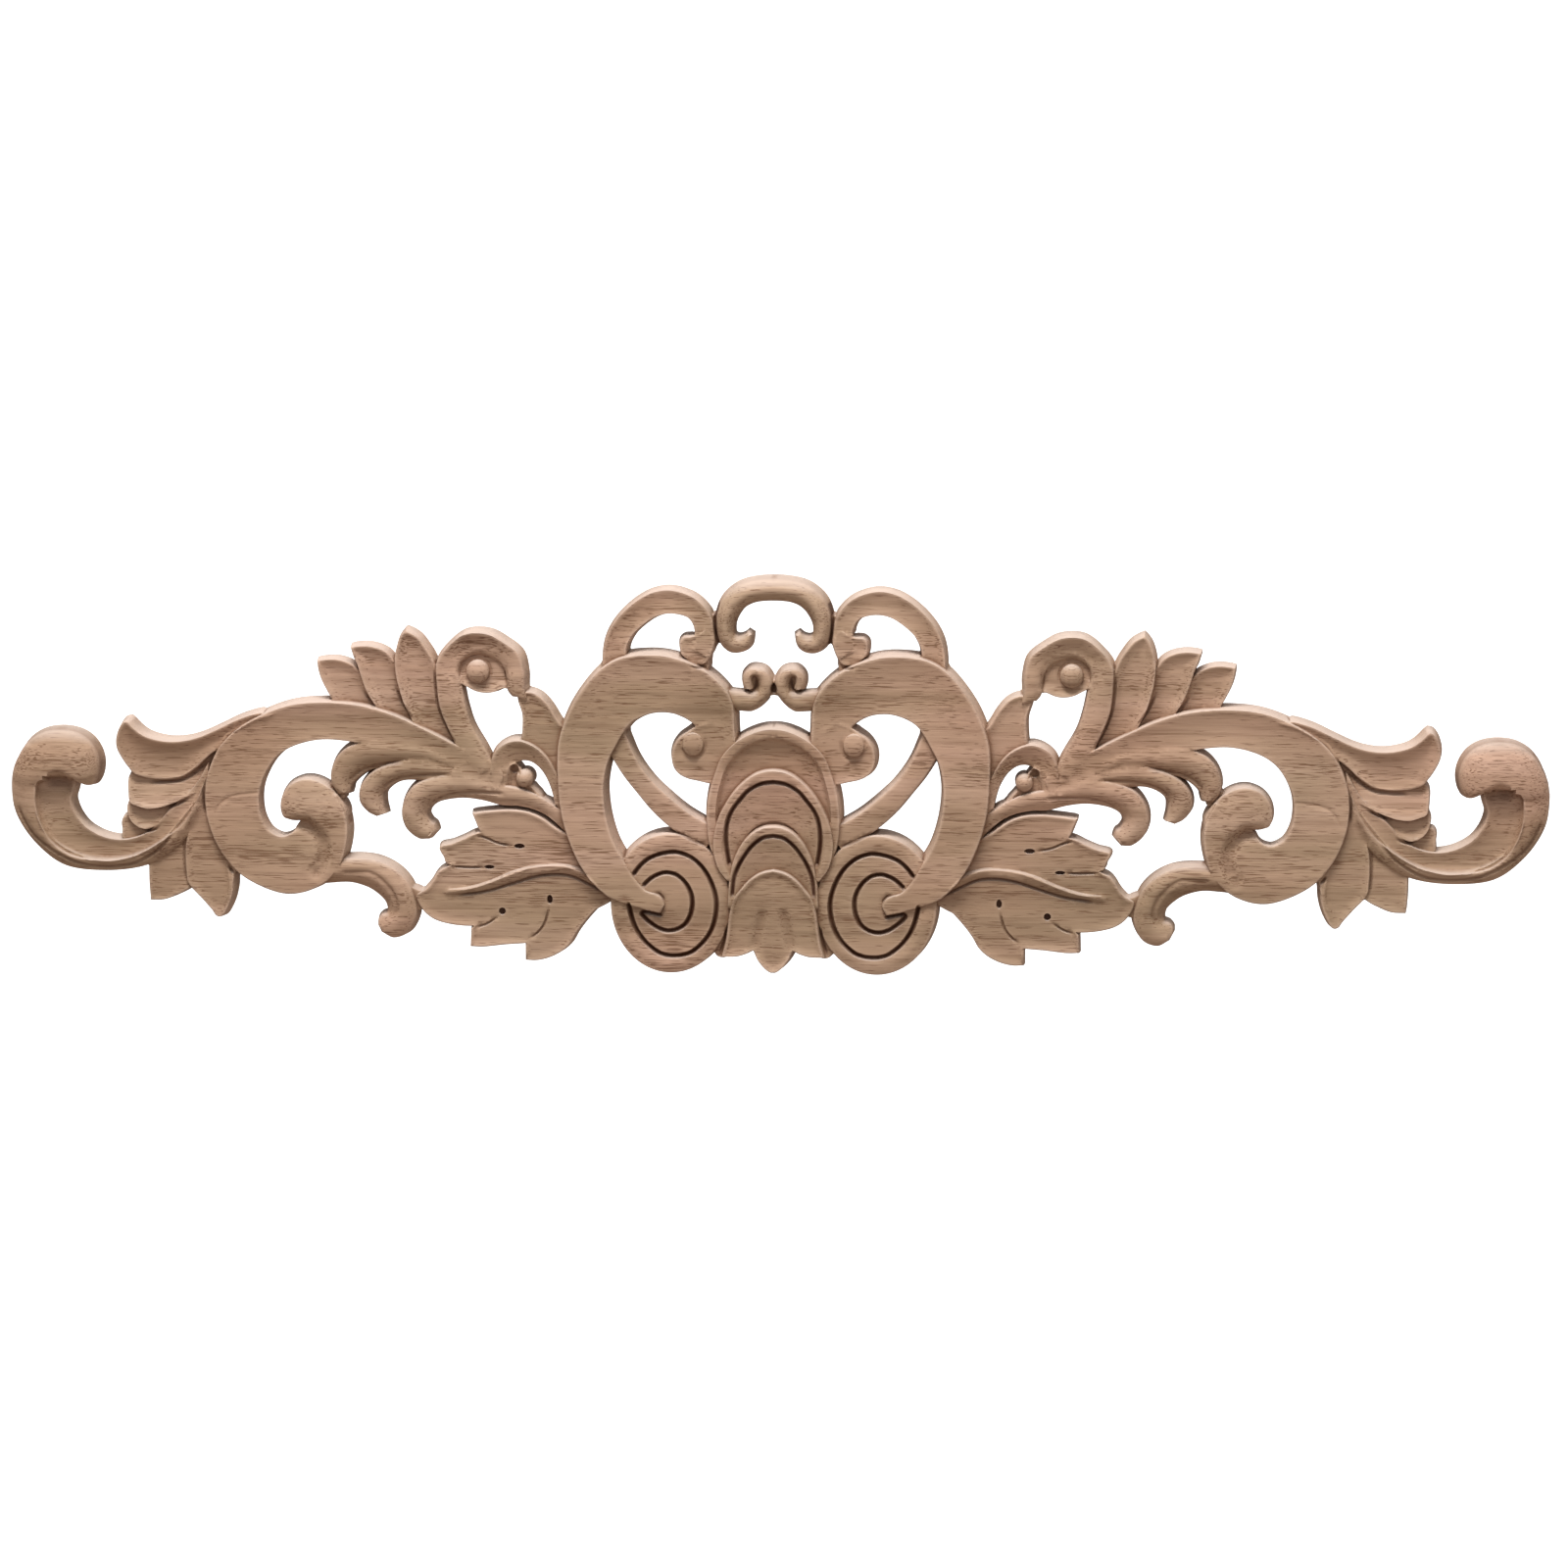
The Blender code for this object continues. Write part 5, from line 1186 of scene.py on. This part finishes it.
# ------------------------------------------------------------------ the wood
def rubberwood():
    mat = bpy.data.materials.new("Rubberwood raw")
    mat.use_nodes = True
    nt = mat.node_tree
    nodes, links = nt.nodes, nt.links
    shader = nodes["Principled BSDF"]
    shader.inputs["Metallic"].default_value = 0.0
    shader.inputs["Specular IOR Level"].default_value = 0.18

    def node(kind, **values):
        nd = nodes.new(kind)
        for key, value in values.items():
            setattr(nd, key, value)
        return nd

    coords = node("ShaderNodeTexCoord")

    def noise(scale, detail, rough, size=1.0, distortion=0.0):
        place = node("ShaderNodeMapping")
        place.inputs["Scale"].default_value = scale
        links.new(coords.outputs["Object"], place.inputs["Vector"])
        tex = node("ShaderNodeTexNoise")
        tex.inputs["Scale"].default_value = size
        tex.inputs["Detail"].default_value = detail
        tex.inputs["Roughness"].default_value = rough
        tex.inputs["Distortion"].default_value = distortion
        links.new(place.outputs["Vector"], tex.inputs["Vector"])
        return tex.outputs["Fac"]

    def ramp(value, stops):
        nd = node("ShaderNodeValToRGB")
        links.new(value, nd.inputs["Fac"])
        el = nd.color_ramp.elements
        el[0].position, el[0].color = stops[0][0], (*stops[0][1], 1)
        el[1].position, el[1].color = stops[-1][0], (*stops[-1][1], 1)
        for pos, col in stops[1:-1]:
            e = el.new(pos)
            e.color = (*col, 1)
        return nd.outputs["Color"]

    def mix(a, b, factor, mode="MIX"):
        nd = node("ShaderNodeMix", data_type="RGBA", blend_type=mode)
        nd.clamp_factor = True
        for socket, value in ((nd.inputs[6], a), (nd.inputs[7], b)):
            if isinstance(value, tuple):
                socket.default_value = (*value, 1)
            else:
                links.new(value, socket)
        if isinstance(factor, float):
            nd.inputs[0].default_value = factor
        else:
            links.new(factor, nd.inputs[0])
        return nd.outputs[2]

    def math_node(op, a, b=None, clamp=False):
        nd = node("ShaderNodeMath", operation=op, use_clamp=clamp)
        for i, value in enumerate((a, b)):
            if value is None:
                continue
            if isinstance(value, (int, float)):
                nd.inputs[i].default_value = value
            else:
                links.new(value, nd.inputs[i])
        return nd.outputs[0]

    def attribute(name):
        return node("ShaderNodeAttribute", attribute_name=name).outputs["Fac"]

    # broad bands of colour along the board
    broad = noise((5.0, 22.0, 55.0), 3.0, 0.55, distortion=0.4)
    base = ramp(broad, [(0.28, (0.252, 0.170, 0.111)), (0.44, (0.326, 0.223, 0.151)),
                        (0.56, (0.377, 0.257, 0.184)), (0.74, (0.440, 0.308, 0.236))])
    # slow drift between a pinkish and a greyish green cast
    drift = noise((14.0, 30.0, 26.0), 2.0, 0.5)
    base = mix(base, ramp(drift, [(0.34, (0.91, 0.97, 0.94)), (0.50, (1.0, 1.0, 1.0)),
                                  (0.66, (1.06, 0.99, 1.00))]), 0.7, "MULTIPLY")
    # streaks of the grain
    streak = noise((16.0, 260.0, 620.0), 4.0, 0.6, distortion=0.25)
    base = mix(base, ramp(streak, [(0.30, (0.66, 0.60, 0.55)), (0.50, (0.98, 0.97, 0.96)),
                                   (0.72, (1.10, 1.08, 1.06))]), 0.75, "MULTIPLY")
    # long fine fibres
    fibre = noise((60.0, 1500.0, 3200.0), 2.0, 0.5)
    base = mix(base, ramp(fibre, [(0.30, (0.84, 0.81, 0.78)), (0.70, (1.08, 1.07, 1.06))]),
               0.8, "MULTIPLY")
    # open vessels, short dark dashes along the grain
    dash = noise((135.0, 2300.0, 2900.0), 1.0, 0.4)
    rank = noise((18.0, 90.0, 130.0), 1.0, 0.5)
    dash = math_node("ADD", dash, math_node("MULTIPLY", math_node("SUBTRACT", rank, 0.5), 0.46))
    vessel = ramp(dash, [(0.590, (0, 0, 0)), (0.680, (1, 1, 1))])
    base = mix(base, (0.130, 0.064, 0.034), math_node("MULTIPLY", vessel, 0.78))
    # painted highlight along the raised edges, painted shade in the hollows, and the cuts darkened
    # by scorch and painted shade
    cavity, basin, burn_and_shade = attribute("cavity"), attribute("basin"), attribute("burn_and_shade")
    # painted highlight: lighter where the relief stands above the carving around it, at the edges
    edge = math_node("MULTIPLY", math_node("MULTIPLY", cavity, -1.0, clamp=True), 1.5, clamp=True)
    base = mix(base, (0.600, 0.455, 0.365), math_node("MULTIPLY", edge, 0.30))
    # painted highlight on faces turned upwards, towards the key light above
    facing = node("ShaderNodeSeparateXYZ")
    links.new(node("ShaderNodeNewGeometry").outputs["Normal"], facing.inputs[0])
    top_highlight = math_node("MULTIPLY", math_node("SUBTRACT", facing.outputs["Z"], 0.45), 1.8,
                       clamp=True)
    base = mix(base, (0.590, 0.510, 0.465), math_node("MULTIPLY", top_highlight, 0.50))
    # painted shade in the crevices and recesses, where the relief sinks below the carving around it
    hollow = math_node("MULTIPLY", math_node("MAXIMUM", cavity, 0.0), 1.25, clamp=True)
    base = mix(base, (0.165, 0.080, 0.042), math_node("MULTIPLY", hollow, 0.74))
    # painted shade in the broad hollows of the carving
    deep = math_node("MAXIMUM", basin, 0.0)
    base = mix(base, (0.200, 0.110, 0.068), math_node("MULTIPLY", deep, 0.55))
    # darkening of the cuts and pits: scorched colour in the burnt grooves of the disc and shell and
    # the maple's pits, painted shade in the soft cuts
    uneven = noise((90.0, 300.0, 140.0), 3.0, 0.6)
    scorch_and_shade = math_node("MULTIPLY", burn_and_shade, math_node("ADD", uneven, 0.55), clamp=True)
    base = mix(base, (0.046, 0.016, 0.007), scorch_and_shade)
    links.new(base, shader.inputs["Base Color"])

    rough = node("ShaderNodeMapRange")
    links.new(streak, rough.inputs["Value"])
    rough.inputs["To Min"].default_value = 0.50
    rough.inputs["To Max"].default_value = 0.72
    links.new(rough.outputs["Result"], shader.inputs["Roughness"])

    tool = noise((190.0, 400.0, 260.0), 2.0, 0.5)
    relief_h = math_node("SUBTRACT", math_node("MULTIPLY", fibre, 0.35),
                         math_node("MULTIPLY", vessel, 0.4))
    relief_h = math_node("ADD", relief_h, math_node("MULTIPLY", tool, 0.6))
    bump = node("ShaderNodeBump")
    bump.inputs["Strength"].default_value = 0.55
    bump.inputs["Distance"].default_value = 0.00022
    links.new(relief_h, bump.inputs["Height"])
    links.new(bump.outputs["Normal"], shader.inputs["Normal"])
    return mat


onlay.data.materials.append(rubberwood())
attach(onlay, "root")
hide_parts(NODE)

# ------------------------------------------------------------------ the studio
FLOOR_Z = -0.42


def floor():
    """Pale floor that sweeps up behind the board."""
    bm = bmesh.new()
    profile = [(-6.0, FLOOR_Z), (1.6, FLOOR_Z)]
    for i in range(1, 13):
        a = math.radians(90.0 * i / 12)
        profile.append((1.6 + 1.2 * math.sin(a), FLOOR_Z + 1.2 * (1 - math.cos(a))))
    profile.append((2.8, 6.0))
    rows = [[bm.verts.new((x, y, z)) for x in (-7.0, 7.0)] for y, z in profile]
    for a, b in zip(rows, rows[1:]):
        bm.faces.new((a[0], a[1], b[1], b[0]))
    mesh = bpy.data.meshes.new("studio_floor")
    bm.to_mesh(mesh)
    bm.free()
    mesh.shade_smooth()
    obj = bpy.data.objects.new("studio_floor", mesh)
    bpy.context.scene.collection.objects.link(obj)
    mat = bpy.data.materials.new("Pale floor")
    mat.use_nodes = True
    sh = mat.node_tree.nodes["Principled BSDF"]
    sh.inputs["Base Color"].default_value = (0.93, 0.93, 0.93, 1)
    sh.inputs["Roughness"].default_value = 0.9
    sh.inputs["Specular IOR Level"].default_value = 0.0
    sh.inputs["Emission Color"].default_value = (1, 1, 1, 1)
    sh.inputs["Emission Strength"].default_value = 0.8
    mesh.materials.append(mat)
    obj.visible_diffuse = False
    obj.visible_glossy = False
    return obj


floor()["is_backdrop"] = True


def area_light(name, place, target, size, size_y, power, colour=(1, 1, 1)):
    data = bpy.data.lights.new(name, "AREA")
    data.shape = "RECTANGLE"
    data.size, data.size_y = size, size_y
    data.energy = power
    data.color = colour
    obj = bpy.data.objects.new(name, data)
    obj.location = place
    obj.rotation_mode = "QUATERNION"
    obj.rotation_quaternion = (Vector(target) - Vector(place)).to_track_quat("-Z", "Y")
    bpy.context.scene.collection.objects.link(obj)
    return obj


area_light("key", (-0.15, -0.62, 1.30), (0, 0, 0), 0.8, 0.4, 30.0, (1.0, 0.985, 0.965))
area_light("front", (0.4, -2.2, 0.35), (0, 0, 0), 1.4, 0.9, 9.0, (0.98, 0.99, 1.0))

world = bpy.data.worlds.new("Studio")
bpy.context.scene.world = world
world.use_nodes = True
back = world.node_tree.nodes["Background"]
back.inputs["Strength"].default_value = 0.60
sky = world.node_tree.nodes.new("ShaderNodeTexCoord")
height_of = world.node_tree.nodes.new("ShaderNodeSeparateXYZ")
fade = world.node_tree.nodes.new("ShaderNodeMapRange")
fade.inputs["From Min"].default_value = -0.7
fade.inputs["From Max"].default_value = 0.8
fade.inputs["To Min"].default_value = 0.0
fade.inputs["To Max"].default_value = 1.0
world.node_tree.links.new(sky.outputs["Generated"], height_of.inputs[0])
world.node_tree.links.new(height_of.outputs["Z"], fade.inputs["Value"])
tint = world.node_tree.nodes.new("ShaderNodeMix")
tint.data_type = "RGBA"
tint.inputs[6].default_value = (0.76, 0.57, 0.45, 1)
tint.inputs[7].default_value = (1, 1, 1, 1)
world.node_tree.links.new(fade.outputs["Result"], tint.inputs[0])
world.node_tree.links.new(tint.outputs[2], back.inputs["Color"])

bpy.context.scene.view_settings.view_transform = "Standard"
bpy.context.scene.view_settings.look = "None"
bpy.context.scene.view_settings.exposure = 0.0
bpy.context.scene.view_settings.gamma = 1.0

# ------------------------------------------------------------------ the camera
AZIMUTH, ELEVATION, ROLL = 3.5, 8.5, 0.02       # degrees
DISTANCE = 1.7                                  # metres
PX_PER_MM = 3.158                               # in a frame 1600 across
AIM = (3.4, -2.0)                               # mm right of and above the origin

az, el = math.radians(AZIMUTH), math.radians(ELEVATION)
away = Vector((math.sin(az) * math.cos(el), -math.cos(az) * math.cos(el), math.sin(el)))
right = Vector((math.cos(az), math.sin(az), 0.0))
up = right.cross(-away).normalized()
data = bpy.data.cameras.new("camera")
data.sensor_width = 36.0
data.lens = 36.0 * DISTANCE / (1600.0 / PX_PER_MM * MM)
data.clip_start, data.clip_end = 0.05, 50.0
camera = bpy.data.objects.new("camera", data)
camera.rotation_mode = "QUATERNION"
target = right * AIM[0] * MM + up * AIM[1] * MM + Vector((0, -0.009, 0))
camera.location = target + away * DISTANCE
turn = (-away).to_track_quat("-Z", "Y")
camera.rotation_quaternion = turn @ Quaternion((0, 0, 1), math.radians(ROLL))
bpy.context.scene.collection.objects.link(camera)
bpy.context.scene.camera = camera

low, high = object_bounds()
